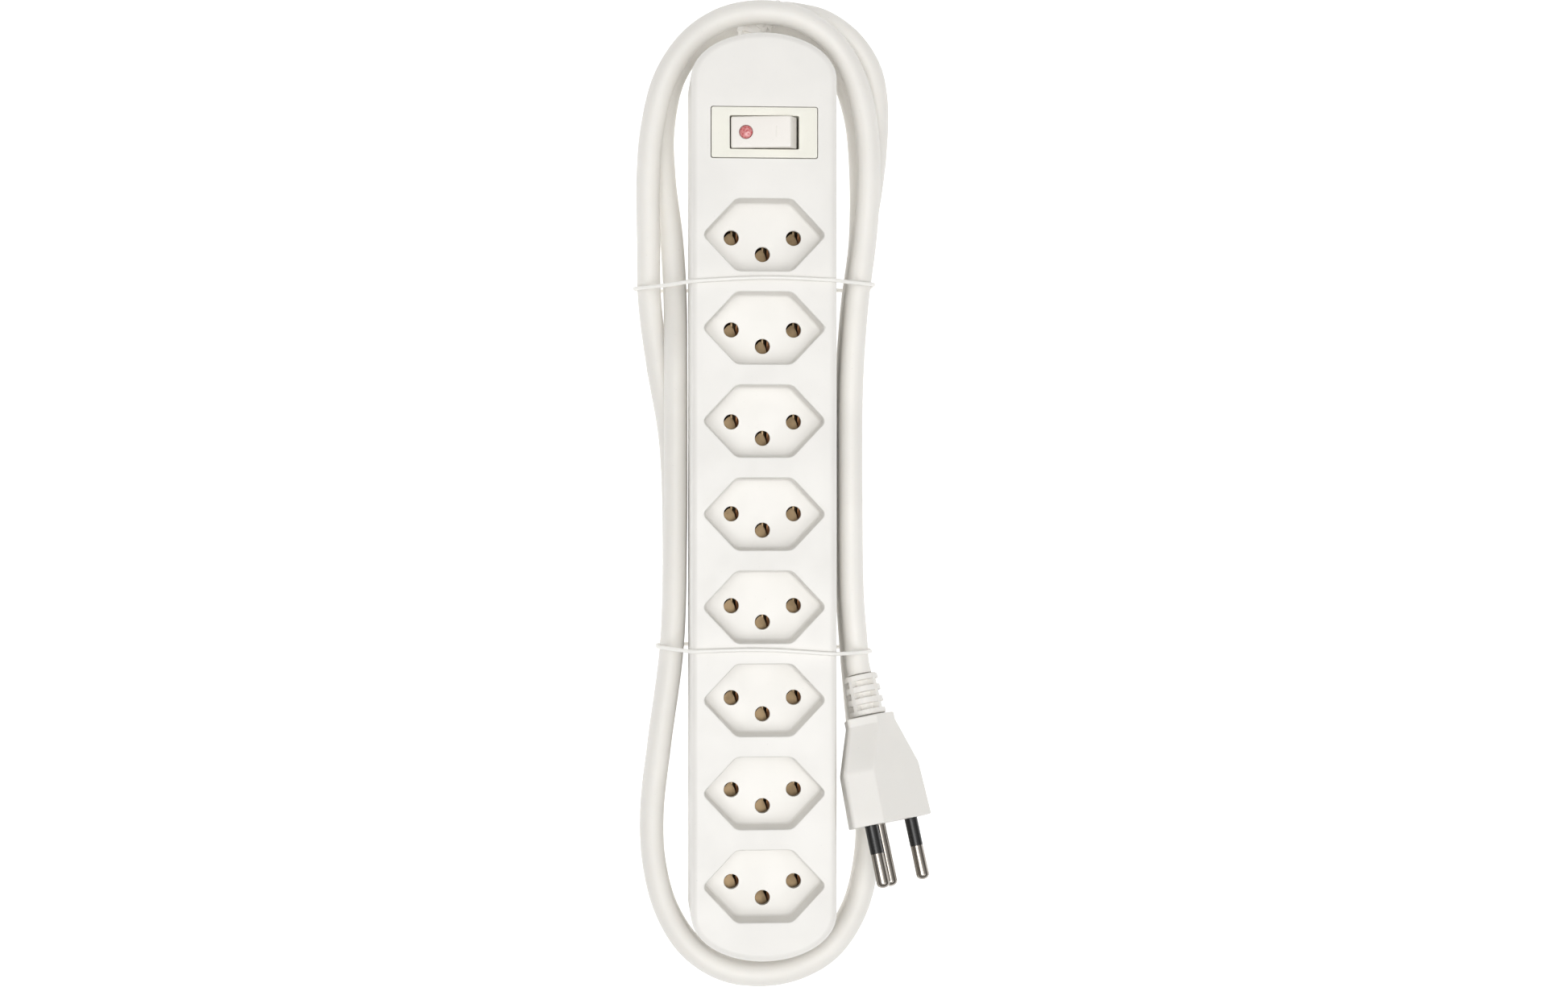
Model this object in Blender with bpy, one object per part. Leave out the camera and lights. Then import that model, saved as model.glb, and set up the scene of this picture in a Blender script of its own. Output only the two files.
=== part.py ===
"""Power strip with eight recessed three-pin sockets, a lit rocker switch and a wound mains lead.

Metres, +Z up. X runs across the strip and Y along it, with the lead leaving at the +Y end. The origin
is the middle of the strip's footprint, on the surface that it stands on.
"""

import math

import bmesh
import bpy
from mathutils import Matrix, Vector

# Clearances
GAP = 0.0003  # between pieces that touch
SLIP = 0.00015  # round a piece that turns or slides in another

# Sockets
SOCKET_COUNT = 8
SOCKET_PITCH = 0.0280
PIN_SPACING = 0.0190  # live to neutral
EARTH_OFFSET = 0.0050  # earth pin off the live-neutral line
PIN_HOLE_RADIUS = 0.0023
RECESS_LENGTH = 0.0372  # tip to tip
RECESS_WIDTH = 0.0217  # flat to flat
RECESS_FLAT = 0.0168  # length of a flat
RECESS_DEPTH = 0.0100
RECESS_CORNER = 0.0014
RECESS_FLOOR = 0.0020
RECESS_WALL = 0.0016

# Housing
WIDTH = 0.0440
HEIGHT = 0.0360
END_DEPTH = 0.0140  # the arched ends, past the straight sides
FAR_MARGIN = 0.0229  # far end to the middle of the last socket
SWITCH_SPACING = 0.0307  # first socket to the switch
NEAR_MARGIN = 0.0304  # switch to the end that the lead leaves
WALL = 0.0022
TOP_THICKNESS = 0.0026
BASE_THICKNESS = 0.0022
EDGE_RADIUS = 0.0022
FOOT_HEIGHT = 0.0020
SPLIT_HEIGHT = 0.0090  # where the cover meets the base

# Housing screws, three pairs
SCREW_X = 0.0170
SCREW_SHANK_RADIUS = 0.00145
SCREW_HEAD_RADIUS = 0.0028
SCREW_HEAD_HEIGHT = 0.0019
SCREW_LENGTH = 0.0120
SCREW_SEAT = 0.0026  # base material under the screw head
POST_RADIUS = 0.0042
BOSS_RADIUS = 0.0030

# Contacts
BAR_THICKNESS = 0.0008
BAR_WIDTH = 0.0052
LEAF_THICKNESS = 0.0005
LEAF_LENGTH = 0.0064
THROAT = 0.0006  # gap that a pin spreads
THROAT_DEPTH = 0.0055  # throat below the recess floor
CARRIER_THICKNESS = 0.0015
BARRIER_THICKNESS = 0.0010

# Switch
BEZEL_LENGTH = 0.0319
BEZEL_WIDTH = 0.0152
BEZEL_THICKNESS = 0.0014
BEZEL_PROUD = 0.0003
BEZEL_CORNER = 0.0006
SWITCH_BODY_LENGTH = 0.0256
SWITCH_BODY_WIDTH = 0.0132
SWITCH_BODY_DEPTH = 0.0190
SWITCH_FLOOR = 0.0012
ROCKER_LENGTH = 0.0198
ROCKER_WIDTH = 0.0095
ROCKER_TOP_LENGTH = 0.0168
ROCKER_RISE = 0.0052  # top face over the pivot
ROCKER_DROP = 0.0030  # underside below the pivot
ROCKER_TILT = math.radians(9.5)
ROCKER_ROOM = 0.0005  # rocker's ends to the window
PIVOT_DEPTH = 0.0036  # pivot below the cover's top
TRUNNION_RADIUS = 0.0012
TRUNNION_LENGTH = 0.0012
LENS_RADIUS = 0.00195
LENS_X = -0.0050
LAMP_RADIUS = 0.0016
POLE_OFFSET = 0.0027
PLUNGER_RADIUS = 0.0011
PLUNGER_TOP = 0.0016  # plunger's top below the pivot
PLUNGER_BORE_DEPTH = 0.0050
SPRING_WIRE = 0.00035
SPRING_TURNS = 4
LEVER_LENGTH = 0.0150
LEVER_WIDTH = 0.0034
LEVER_THICKNESS = 0.0005
LEVER_TILT = math.radians(7.0)
LEVER_DEPTH = 0.0161  # lever's pivot below the cover's top
BLADE_WIDTH = 0.0040
BLADE_THICKNESS = 0.0008
BLADE_TAIL = 0.0070  # blade below the switch body
OUT_BLADE_X = 0.0068

# Lead, its exit and its grip
CORD_RADIUS = 0.00365
CORD_HEIGHT = 0.01295  # lead's axis where it leaves the end wall
EXIT_X = -0.0035
RELIEF_COLLAR_RADIUS = 0.0056
RELIEF_COLLAR = 0.0020
RELIEF_INSIDE = 0.0096
RELIEF_BEND = 0.0100
RELIEF_ROOT_RADIUS = 0.0045
RELIEF_TIP_RADIUS = 0.0040
TAIL_LENGTH = 0.0105
CLAMP_SETBACK = 0.0058
CLAMP_LENGTH = 0.0206
CLAMP_WIDTH = 0.0056
CLAMP_THICKNESS = 0.0024
CLAMP_SCREW_OFFSET = 0.0074
CLAMP_BOSS_RADIUS = 0.0026
CORE_RADIUS = 0.00115

# Plug
PLUG_FIT = 0.00075  # plug to recess, all round
PLUG_BACK = 0.0070  # pins' line to the flat away from the earth pin
PLUG_BODY_LENGTH = 0.0326
PLUG_GRIP_LENGTH = 0.0165
PLUG_NECK_LENGTH = 0.0208
PLUG_NECK_WIDTH = 0.0136
PLUG_RELIEF_LENGTH = 0.0126
PLUG_RELIEF_RADIUS = 0.0053
PIN_RADIUS = 0.0020
PIN_LENGTH = 0.0190
PIN_CORE_RADIUS = 0.0015
PIN_ROOT = 0.0080
SLEEVE_LENGTH = 0.0084
PLUG_FACE_X = 0.0170  # past the strip's side wall
PLUG_FACE_Y = -0.0988
PLUG_FACE_Z = 0.0299
PLUG_HEADING = math.radians(11.2)  # from -Y towards +X
PLUG_PITCH = math.radians(10.0)
PLUG_ROLL = math.radians(45.0)

# Elastic ties
TIE_RADIUS = 0.0006
TIE_UPPER_Y = 0.0649
TIE_LOWER_Y = -0.0464

# Worked out from the sizes above
LENGTH = FAR_MARGIN + (SOCKET_COUNT - 1) * SOCKET_PITCH + SWITCH_SPACING + NEAR_MARGIN
SWITCH_Y = LENGTH / 2 - NEAR_MARGIN
SOCKETS_Y = [SWITCH_Y - SWITCH_SPACING - SOCKET_PITCH * i for i in range(SOCKET_COUNT)]
RECESS_BOTTOM = HEIGHT - RECESS_DEPTH
RECESS_UNDERSIDE = RECESS_BOTTOM - RECESS_FLOOR
BASE_TOP = FOOT_HEIGHT + BASE_THICKNESS
PIN_PLACES = {
    "live": (-PIN_SPACING / 2, 0.0),
    "neutral": (PIN_SPACING / 2, 0.0),
    "earth": (0.0, -EARTH_OFFSET),
}
BETWEEN_SOCKETS = [(a + b) / 2 for a, b in zip(SOCKETS_Y, SOCKETS_Y[1:])]
SCREWS = [
    (side * SCREW_X, y)
    for y in (SOCKETS_Y[0] + SOCKET_PITCH / 2, BETWEEN_SOCKETS[3], BETWEEN_SOCKETS[6])
    for side in (-1, 1)
]
POLES = {"live": SWITCH_Y + POLE_OFFSET, "neutral": SWITCH_Y - POLE_OFFSET}
SWITCH_BOTTOM = HEIGHT - SWITCH_BODY_DEPTH - BEZEL_THICKNESS + BEZEL_PROUD
PIVOT_Z = HEIGHT - PIVOT_DEPTH
LEVER_Z = HEIGHT - LEVER_DEPTH
EXIT_Y = LENGTH / 2
RELIEF_START = EXIT_Y - RELIEF_INSIDE
CLAMP_Y = RELIEF_START - CLAMP_SETBACK
CLAMP_Z = CORD_HEIGHT + CORD_RADIUS + GAP
BAR_Z = BASE_TOP + GAP + CARRIER_THICKNESS + GAP

# The winding. A strand's height is its axis over the surface that the strip stands on.
LYING = 0.00375
ON_TIE = 0.00535
SECOND = 0.01295
THIRD = 0.0206
STACK = 0.0076  # one strand's axis over the next

EXIT_BEND = [(0.0068, 0.1500), (0.0088, 0.1500), (0.0193, 0.1479), (0.0282, 0.1419), (0.0342, 0.1330),
             (0.0363, 0.1225), (0.0360, 0.1080), (0.0345, 0.0950)]
RIGHT_SIDE = [(0.0320, 0.0800), (0.0295, 0.0600), (0.0278, 0.0350), (0.0276, 0.0000), (0.0280, -0.0300)]
FAR_BEND = [(0.0292, -0.0480, 0.0016), (0.0316, -0.0740, 0.0003), (0.0342, -0.0980, 0.0000),
            (0.0338, -0.1130, 0.0000), (0.0299, -0.1290, 0.0000), (0.0220, -0.1408, 0.0000),
            (0.0115, -0.1468, 0.0000), (0.0000, -0.1486, 0.0000), (-0.0115, -0.1466, 0.0000),
            (-0.0218, -0.1396, 0.0000), (-0.0290, -0.1280, 0.0000), (-0.0328, -0.1130, 0.0000),
            (-0.0334, -0.0980, 0.0000), (-0.0310, -0.0760, 0.0003), (-0.0272, -0.0460, 0.0016)]
FIRST_LEFT_SIDE = [(-0.0262, -0.0120, SECOND), (-0.0261, 0.0180, 0.01290), (-0.0261, 0.0420, 0.01190),
                   (-0.0261, 0.0620, 0.00560), (-0.0272, 0.0810, 0.00440), (-0.0294, 0.0990, 0.00380)]
LOW_ARCH = [(-0.0298, 0.1150), (-0.0262, 0.1316), (-0.0182, 0.1424), (-0.0070, 0.1478), (0.0046, 0.1480),
            (0.0160, 0.1436), (0.0252, 0.1342), (0.0304, 0.1205), (0.0322, 0.1050)]
SECOND_LEFT_SIDE = [(-0.0264, -0.0120, ON_TIE), (-0.0276, 0.0180, ON_TIE), (-0.0316, 0.0420, ON_TIE),
                    (-0.0341, 0.0620, 0.00560), (-0.0344, 0.0800, 0.00830), (-0.0346, 0.0980, 0.01280)]
HIGH_ARCH = [(-0.0334, 0.1130, 0.0170), (-0.0294, 0.1284, 0.0202), (-0.0216, 0.1398, 0.0214),
             (-0.0116, 0.1464, 0.0216), (0.0000, 0.1486, 0.0216), (0.0114, 0.1468, 0.0216),
             (0.0216, 0.1402, 0.0215), (0.0284, 0.1295, 0.0213), (0.0321, 0.1155, 0.0210),
             (0.0331, 0.0990, 0.0208)]
TO_PLUG = [(0.0291, -0.0445, 0.0209)]
CORD_POINTS = 80
BEND_WEIGHT = 0.022  # metres of straight lead that get as many points as one radian of bend


def clear_scene():
    for thing in list(bpy.data.objects):
        bpy.data.objects.remove(thing, do_unlink=True)


def material(name, colour, roughness, metallic=0.0):
    made = bpy.data.materials.new(name)
    made.use_nodes = True
    shader = made.node_tree.nodes["Principled BSDF"]
    shader.inputs["Base Color"].default_value = (*colour, 1.0)
    shader.inputs["Roughness"].default_value = roughness
    shader.inputs["Metallic"].default_value = metallic
    return made


def placed(bm, name, surface=None, parent=None):
    """Turns a bmesh into an object; one with no material is a cutter or another helper."""
    bmesh.ops.recalc_face_normals(bm, faces=bm.faces)
    mesh = bpy.data.meshes.new(name)
    bm.to_mesh(mesh)
    bm.free()
    mesh.shade_smooth()
    mesh.set_sharp_from_angle(angle=math.radians(35))
    thing = bpy.data.objects.new(name, mesh)
    bpy.context.scene.collection.objects.link(thing)
    thing.parent = parent
    if surface:
        mesh.materials.append(surface)
    else:
        thing.hide_render = True
        thing.display_type = "WIRE"
    return thing


def boolean(thing, other, operation):
    step = thing.modifiers.new(f"{operation.lower()} {other.name}", "BOOLEAN")
    step.operation = operation
    step.solver = "EXACT"
    step.object = other


def rounded(corners, radius, steps=3):
    """An anticlockwise polygon's outline, with each corner turned into an arc."""
    outline = []
    for i, corner in enumerate(corners):
        corner = Vector(corner)
        back = (Vector(corners[i - 1]) - corner).normalized()
        ahead = (Vector(corners[(i + 1) % len(corners)]) - corner).normalized()
        half = back.angle(ahead) / 2
        centre = corner + (back + ahead).normalized() * radius / math.sin(half)
        start = corner + back * radius / math.tan(half) - centre
        for k in range(steps + 1):
            turned = start.copy()
            turned.rotate(Matrix.Rotation((math.pi - 2 * half) * k / steps, 2))
            outline.append(tuple(centre + turned))
    return outline


def rectangle(length, width, corner=0.0):
    x, y = length / 2, width / 2
    corners = [(x, y), (-x, y), (-x, -y), (x, -y)]
    return rounded(corners, corner) if corner else corners


def hexagon(length, width, corner, back=None):
    """A hexagon with two tips on X, flats along X and the recess's slope between them. The flat on +Y
    lies at back where that is given, and its sides keep their slope."""
    slope = (RECESS_LENGTH - RECESS_FLAT) / RECESS_WIDTH
    tip, low, high = length / 2, width / 2, width / 2 if back is None else back
    top, bottom = tip - high * slope, tip - low * slope
    return rounded([(tip, 0), (top, high), (-top, high), (-tip, 0), (-bottom, -low), (bottom, -low)], corner)


def arched(inset=0.0, steps=14):
    """The strip's plan outline: straight sides and half-ellipse ends."""
    wide, deep = WIDTH / 2 - inset, END_DEPTH - inset
    straight = LENGTH / 2 - END_DEPTH
    turn = [math.pi * k / steps for k in range(steps + 1)]
    near = [(wide * math.cos(a), straight + deep * math.sin(a)) for a in turn]
    return near + [(-x, -y) for x, y in near]


def circle(radius, sides=16):
    turns = [math.tau * k / sides for k in range(sides)]
    return [(radius * math.cos(a), radius * math.sin(a)) for a in turns]


def skin(bm, rings):
    """One closed solid through a stack of rings of 3-D points."""
    loops = [[bm.verts.new(p) for p in ring] for ring in rings]
    for low, high in zip(loops, loops[1:]):
        for i in range(len(low)):
            bm.faces.new((low[i - 1], low[i], high[i], high[i - 1]))
    bm.faces.new(list(reversed(loops[0])))
    bm.faces.new(loops[-1])


def prism(bm, outline, low, high, at=(0.0, 0.0)):
    """An outline in plan, extruded from one height to another."""
    face = bm.faces.new([bm.verts.new((x + at[0], y + at[1], low)) for x, y in outline])
    top = bmesh.ops.extrude_face_region(bm, geom=[face])["geom"]
    moved = [v for v in top if isinstance(v, bmesh.types.BMVert)]
    bmesh.ops.translate(bm, verts=moved, vec=(0, 0, high - low))
    return moved


def box(bm, low, high):
    middle = [(a + b) / 2 for a, b in zip(low, high)]
    size = [b - a for a, b in zip(low, high)]
    bmesh.ops.create_cube(bm, size=1, matrix=Matrix.LocRotScale(middle, None, size))


def turned(bm, profile, sides=16, at=(0.0, 0.0)):
    """A solid of revolution about Z: the profile lists (radius, height) and starts and ends on the axis."""
    rings = [[(x + at[0], y + at[1], z) for x, y in circle(radius, sides)] for radius, z in profile]
    skin(bm, rings)


def smooth_line(points, steps=8):
    """Points on a centripetal Catmull-Rom curve through the given points."""
    points = [Vector(p) for p in points]
    points = [2 * points[0] - points[1], *points, 2 * points[-1] - points[-2]]
    line = [points[1]]
    for a, b, c, d in zip(points, points[1:], points[2:], points[3:]):
        t0 = 0.0
        t1 = t0 + math.sqrt((b - a).length)
        t2 = t1 + math.sqrt((c - b).length)
        t3 = t2 + math.sqrt((d - c).length)
        for k in range(1, steps + 1):
            t = t1 + (t2 - t1) * k / steps
            ab = a.lerp(b, (t - t0) / (t1 - t0))
            bc = b.lerp(c, (t - t1) / (t2 - t1))
            cd = c.lerp(d, (t - t2) / (t3 - t2))
            abc = ab.lerp(bc, (t - t0) / (t2 - t0))
            bcd = bc.lerp(cd, (t - t1) / (t3 - t1))
            line.append(abc.lerp(bcd, (t - t1) / (t2 - t1)))
    return line


def thinned(line, count):
    """Some of a line's points, closer together where it bends."""
    weights = [0.0]
    for i in range(1, len(line)):
        step = line[i] - line[i - 1]
        bend = step.angle(line[i - 1] - line[i - 2]) if i > 1 else 0.0
        weights.append(weights[-1] + step.length + BEND_WEIGHT * bend)
    kept = []
    for k in range(count):
        wanted = weights[-1] * k / (count - 1)
        kept.append(line[min(range(len(line)), key=lambda i: abs(weights[i] - wanted))])
    return kept


def tube(name, points, radius, surface, sides_resolution=1, closed=False, parent=None):
    """A round bar along points, as a curve with a bevel."""
    curve = bpy.data.curves.new(name, "CURVE")
    curve.dimensions = "3D"
    curve.bevel_depth = radius
    curve.bevel_resolution = sides_resolution
    curve.use_fill_caps = not closed
    spline = curve.splines.new("POLY")
    spline.points.add(len(points) - 1)
    for spot, place in zip(spline.points, points):
        spot.co = (*place, 1.0)
    spline.use_cyclic_u = closed
    spline.use_smooth = True
    curve.materials.append(surface)
    thing = bpy.data.objects.new(name, curve)
    bpy.context.scene.collection.objects.link(thing)
    thing.parent = parent
    return thing


def add_top_cover(surface):
    """Moulded cover: outer shell, socket wells hung from its top, and screw bosses."""
    low = SPLIT_HEIGHT + GAP / 2
    bm = bmesh.new()
    rings = [[(x, y, low) for x, y in arched()]]
    for k in range(4):
        angle = math.pi / 2 * k / 3
        inset = EDGE_RADIUS * (1 - math.cos(angle))
        rings.append([(x, y, HEIGHT - EDGE_RADIUS + EDGE_RADIUS * math.sin(angle)) for x, y in arched(inset)])
    skin(bm, rings)
    cover = placed(bm, "top_cover", surface)

    bm = bmesh.new()
    prism(bm, arched(WALL), low - 2 * GAP, HEIGHT - TOP_THICKNESS)
    boolean(cover, placed(bm, "cover_hollow"), "DIFFERENCE")

    bm = bmesh.new()
    around = 2 * RECESS_WALL
    well = hexagon(RECESS_LENGTH + around, RECESS_WIDTH + around, RECESS_CORNER + RECESS_WALL)
    for y in SOCKETS_Y:
        prism(bm, well, RECESS_UNDERSIDE, HEIGHT - TOP_THICKNESS / 2, (0, y))
    for place in SCREWS:
        prism(bm, circle(BOSS_RADIUS), low, HEIGHT - TOP_THICKNESS / 2, place)
    boolean(cover, placed(bm, "cover_wells"), "UNION")

    bm = bmesh.new()
    for y in SOCKETS_Y:
        prism(bm, hexagon(RECESS_LENGTH, RECESS_WIDTH, RECESS_CORNER), RECESS_BOTTOM, HEIGHT + GAP, (0, y))
    for x, y in SCREWS:
        prism(bm, circle(SCREW_SHANK_RADIUS + SLIP), low - GAP, low + SCREW_LENGTH, (x, y))
    pocket = rectangle(BEZEL_LENGTH + 2 * GAP, BEZEL_WIDTH + 2 * GAP, BEZEL_CORNER + GAP)
    prism(bm, pocket, HEIGHT + BEZEL_PROUD - BEZEL_THICKNESS - GAP, HEIGHT + GAP, (0, SWITCH_Y))
    boolean(cover, placed(bm, "cover_recesses"), "DIFFERENCE")

    bm = bmesh.new()
    for y in SOCKETS_Y:
        for x, offset in PIN_PLACES.values():
            hole = circle(PIN_HOLE_RADIUS, 12)
            prism(bm, hole, RECESS_UNDERSIDE - GAP, RECESS_BOTTOM + GAP, (x, y + offset))
    window = rectangle(SWITCH_BODY_LENGTH + 2 * GAP, SWITCH_BODY_WIDTH + 2 * GAP)
    prism(bm, window, HEIGHT - TOP_THICKNESS - GAP, HEIGHT, (0, SWITCH_Y))
    boolean(cover, placed(bm, "cover_holes"), "DIFFERENCE")
    return cover


def add_base_cover(surface):
    """Moulded base: a shallow tray with screw posts, foot rails and the two bosses of the cord grip."""
    high = SPLIT_HEIGHT - GAP / 2
    bm = bmesh.new()
    rings = [(FOOT_HEIGHT, EDGE_RADIUS / 2), (FOOT_HEIGHT + EDGE_RADIUS / 2, 0.0), (high, 0.0)]
    skin(bm, [[(x, y, z) for x, y in arched(inset)] for z, inset in rings])
    base = placed(bm, "base_cover", surface)

    bm = bmesh.new()
    prism(bm, arched(WALL), BASE_TOP, high + GAP)
    boolean(base, placed(bm, "base_hollow"), "DIFFERENCE")

    bm = bmesh.new()
    for place in SCREWS:
        prism(bm, circle(POST_RADIUS), FOOT_HEIGHT + BASE_THICKNESS / 2, high, place)
    for side in (-1, 1):
        place = (EXIT_X + side * CLAMP_SCREW_OFFSET, CLAMP_Y)
        prism(bm, circle(CLAMP_BOSS_RADIUS), FOOT_HEIGHT + BASE_THICKNESS / 2, CLAMP_Z - GAP, place)
        rail_x = SCREW_X - POST_RADIUS - 0.0014
        for y0, y1 in foot_spans():
            box(bm, (side * rail_x - 0.0014, y0, 0.0), (side * rail_x + 0.0014, y1, BASE_TOP - GAP))
    boolean(base, placed(bm, "base_posts"), "UNION")

    bm = bmesh.new()
    head, shank, seat = SCREW_HEAD_RADIUS + 2 * GAP, SCREW_SHANK_RADIUS + SLIP, high - SCREW_SEAT
    for place in SCREWS:
        turned(bm, [(head, FOOT_HEIGHT - GAP), (head, seat), (shank, seat), (shank, high + GAP)], at=place)
    for side in (-1, 1):
        place = (EXIT_X + side * CLAMP_SCREW_OFFSET, CLAMP_Y)
        prism(bm, circle(SCREW_SHANK_RADIUS + SLIP), BASE_TOP + GAP, CLAMP_Z + GAP, place)
    boolean(base, placed(bm, "base_holes"), "DIFFERENCE")
    return base


def foot_spans():
    """The stretches of the two foot rails, which leave room for the ties to pass under the base."""
    end, room = LENGTH / 2 - END_DEPTH, 0.0080
    return [
        (-end, TIE_LOWER_Y - room),
        (TIE_LOWER_Y + room, TIE_UPPER_Y - room),
        (TIE_UPPER_Y + room, end),
    ]


def add_exit_hole(cover, base):
    """The round hole for the lead's boot, half in the cover's end wall and half in the base's."""
    for thing in (cover, base):
        bm = bmesh.new()
        bore = [(RELIEF_ROOT_RADIUS + GAP, -3 * WALL), (RELIEF_ROOT_RADIUS + GAP, 3 * WALL)]
        turned(bm, bore, sides=20)
        turn = Matrix.Translation((EXIT_X, EXIT_Y, CORD_HEIGHT)) @ Matrix.Rotation(math.pi / 2, 4, "X")
        bmesh.ops.transform(bm, matrix=turn, verts=bm.verts)
        boolean(thing, placed(bm, f"exit_hole_{thing.name}"), "DIFFERENCE")


def add_screw(name, surface, place, head_z, up):
    """Pan-head screw with a cross recess; up is +1 where its shank points up."""
    slope = SCREW_HEAD_HEIGHT * 0.35
    bm = bmesh.new()
    turned(bm, [(SCREW_HEAD_RADIUS * 0.75, 0.0), (SCREW_HEAD_RADIUS, slope),
                (SCREW_HEAD_RADIUS, SCREW_HEAD_HEIGHT),
                (SCREW_SHANK_RADIUS, SCREW_HEAD_HEIGHT), (SCREW_SHANK_RADIUS, SCREW_LENGTH - 0.001),
                (SCREW_SHANK_RADIUS * 0.4, SCREW_LENGTH)], sides=14)
    screw = placed(bm, name, surface)
    bm = bmesh.new()
    arm, half = SCREW_HEAD_RADIUS * 0.55, 0.00035
    cross = [(arm, half), (half, half), (half, arm), (-half, arm), (-half, half), (-arm, half),
             (-arm, -half), (-half, -half), (-half, -arm), (half, -arm), (half, -half), (arm, -half)]
    prism(bm, cross, -GAP, SCREW_HEAD_HEIGHT * 0.6)
    recess = placed(bm, f"{name}_cross", parent=screw)
    boolean(screw, recess, "DIFFERENCE")
    screw.location = (*place, head_z)
    screw.rotation_euler = (0.0 if up > 0 else math.pi, 0.0, 0.0)
    return screw


def strip_with_uprights(bm, xs, ys, low, high, raised):
    """A flat strip on a grid of stations; raised gives each upright cell's moves, (x, z) in turn."""
    grid = [[bm.verts.new((x, y, low)) for x in xs] for y in ys]
    cells = {}
    for row in range(len(ys) - 1):
        for column in range(len(xs) - 1):
            near, far = grid[row], grid[row + 1]
            corners = (near[column], near[column + 1], far[column + 1], far[column])
            cells[column, row] = bm.faces.new(corners)
    middles = {key: face.calc_center_median() for key, face in cells.items()}
    made = bmesh.ops.extrude_face_region(bm, geom=list(cells.values()))["geom"]
    lifted = [v for v in made if isinstance(v, bmesh.types.BMVert)]
    bmesh.ops.translate(bm, verts=lifted, vec=(0, 0, high - low))
    tops = [f for f in made if isinstance(f, bmesh.types.BMFace)]
    for key, moves in raised.items():
        face = min(tops, key=lambda f, spot=middles[key]: (f.calc_center_median().xy - spot.xy).length)
        tops.remove(face)
        for dx, dz in moves:
            face = bmesh.ops.extrude_discrete_faces(bm, faces=[face])["faces"][0]
            bmesh.ops.translate(bm, verts=face.verts, vec=(dx, 0, dz))


def add_busbar(name, pole, surface):
    """Brass strip with a pair of spring leaves under each pin hole."""
    x, offset = PIN_PLACES[pole]
    inner, outer = BAR_WIDTH / 2 - LEAF_THICKNESS, BAR_WIDTH / 2
    ys = [SOCKETS_Y[0] + 0.0111]
    for y in SOCKETS_Y:
        ys += [y + offset + LEAF_LENGTH / 2, y + offset - LEAF_LENGTH / 2]
    ys.append(SOCKETS_Y[-1] - EARTH_OFFSET - LEAF_LENGTH / 2 - 0.0015)
    top = BAR_Z + BAR_THICKNESS
    throat = RECESS_BOTTOM - THROAT_DEPTH - top
    flare = RECESS_UNDERSIDE - 3 * GAP - top - throat
    lean, spread = inner - THROAT / 2, inner - THROAT / 2 - GAP
    raised = {}
    for i in range(SOCKET_COUNT):
        raised[0, 2 * i + 1] = [(lean, throat), (-spread, flare)]
        raised[2, 2 * i + 1] = [(-lean, throat), (spread, flare)]
    bm = bmesh.new()
    strip_with_uprights(bm, [x - outer, x - inner, x + inner, x + outer], ys, BAR_Z, top, raised)
    return placed(bm, name, surface)


def add_contact_carrier(surface):
    """Insulating tray under the busbars, with a barrier rib on each side of the earth bar."""
    half = SCREW_X - POST_RADIUS - GAP
    rib = PIN_SPACING / 4
    xs = [-half]
    for middle in (-rib, rib):
        xs += [middle - BARRIER_THICKNESS / 2, middle + BARRIER_THICKNESS / 2]
    xs.append(half)
    ys = [SOCKETS_Y[-1] - 0.0125, SOCKETS_Y[0] + 0.0107]
    low = BASE_TOP + GAP
    tall = RECESS_UNDERSIDE - 0.0015 - low - CARRIER_THICKNESS
    bm = bmesh.new()
    strip_with_uprights(bm, xs, ys, low, low + CARRIER_THICKNESS, {(1, 0): [(0, tall)], (3, 0): [(0, tall)]})
    return placed(bm, "contact_carrier", surface)


def add_switch_body(surface):
    """Snap-in switch body: the bezel on the cover, and the well that holds the rocker and contacts."""
    bezel_low = HEIGHT + BEZEL_PROUD - BEZEL_THICKNESS
    edge = 0.0003
    bm = bmesh.new()
    rings = [
        (bezel_low, rectangle(BEZEL_LENGTH, BEZEL_WIDTH, BEZEL_CORNER)),
        (HEIGHT + BEZEL_PROUD - edge, rectangle(BEZEL_LENGTH, BEZEL_WIDTH, BEZEL_CORNER)),
        (HEIGHT + BEZEL_PROUD, rectangle(BEZEL_LENGTH - 2 * edge, BEZEL_WIDTH - 2 * edge, BEZEL_CORNER)),
    ]
    skin(bm, [[(x, y + SWITCH_Y, z) for x, y in outline] for z, outline in rings])
    body = placed(bm, "switch_body", surface)

    bm = bmesh.new()
    below = rectangle(SWITCH_BODY_LENGTH, SWITCH_BODY_WIDTH)
    prism(bm, below, SWITCH_BOTTOM, bezel_low + edge, (0, SWITCH_Y))
    boolean(body, placed(bm, "switch_well"), "UNION")

    bm = bmesh.new()
    window = rectangle(ROCKER_LENGTH + 2 * ROCKER_ROOM, ROCKER_WIDTH + 2 * SLIP + 0.0002)
    prism(bm, window, SWITCH_BOTTOM + SWITCH_FLOOR, HEIGHT + 2 * BEZEL_PROUD, (0, SWITCH_Y))
    boolean(body, placed(bm, "switch_window"), "DIFFERENCE")

    bm = bmesh.new()
    bore = [(TRUNNION_RADIUS + SLIP, -SWITCH_BODY_WIDTH), (TRUNNION_RADIUS + SLIP, SWITCH_BODY_WIDTH)]
    turned(bm, bore, sides=20)
    turn = Matrix.Translation((0, SWITCH_Y, PIVOT_Z)) @ Matrix.Rotation(math.pi / 2, 4, "X")
    bmesh.ops.transform(bm, matrix=turn, verts=bm.verts)
    slot = rectangle(BLADE_THICKNESS + 2 * SLIP, BLADE_WIDTH + 2 * SLIP)
    for y in POLES.values():
        for x in (0.0, OUT_BLADE_X):
            prism(bm, slot, SWITCH_BOTTOM - GAP, SWITCH_BOTTOM + SWITCH_FLOOR + GAP, (x, y))
    boolean(body, placed(bm, "switch_bores"), "DIFFERENCE")
    return body


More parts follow.
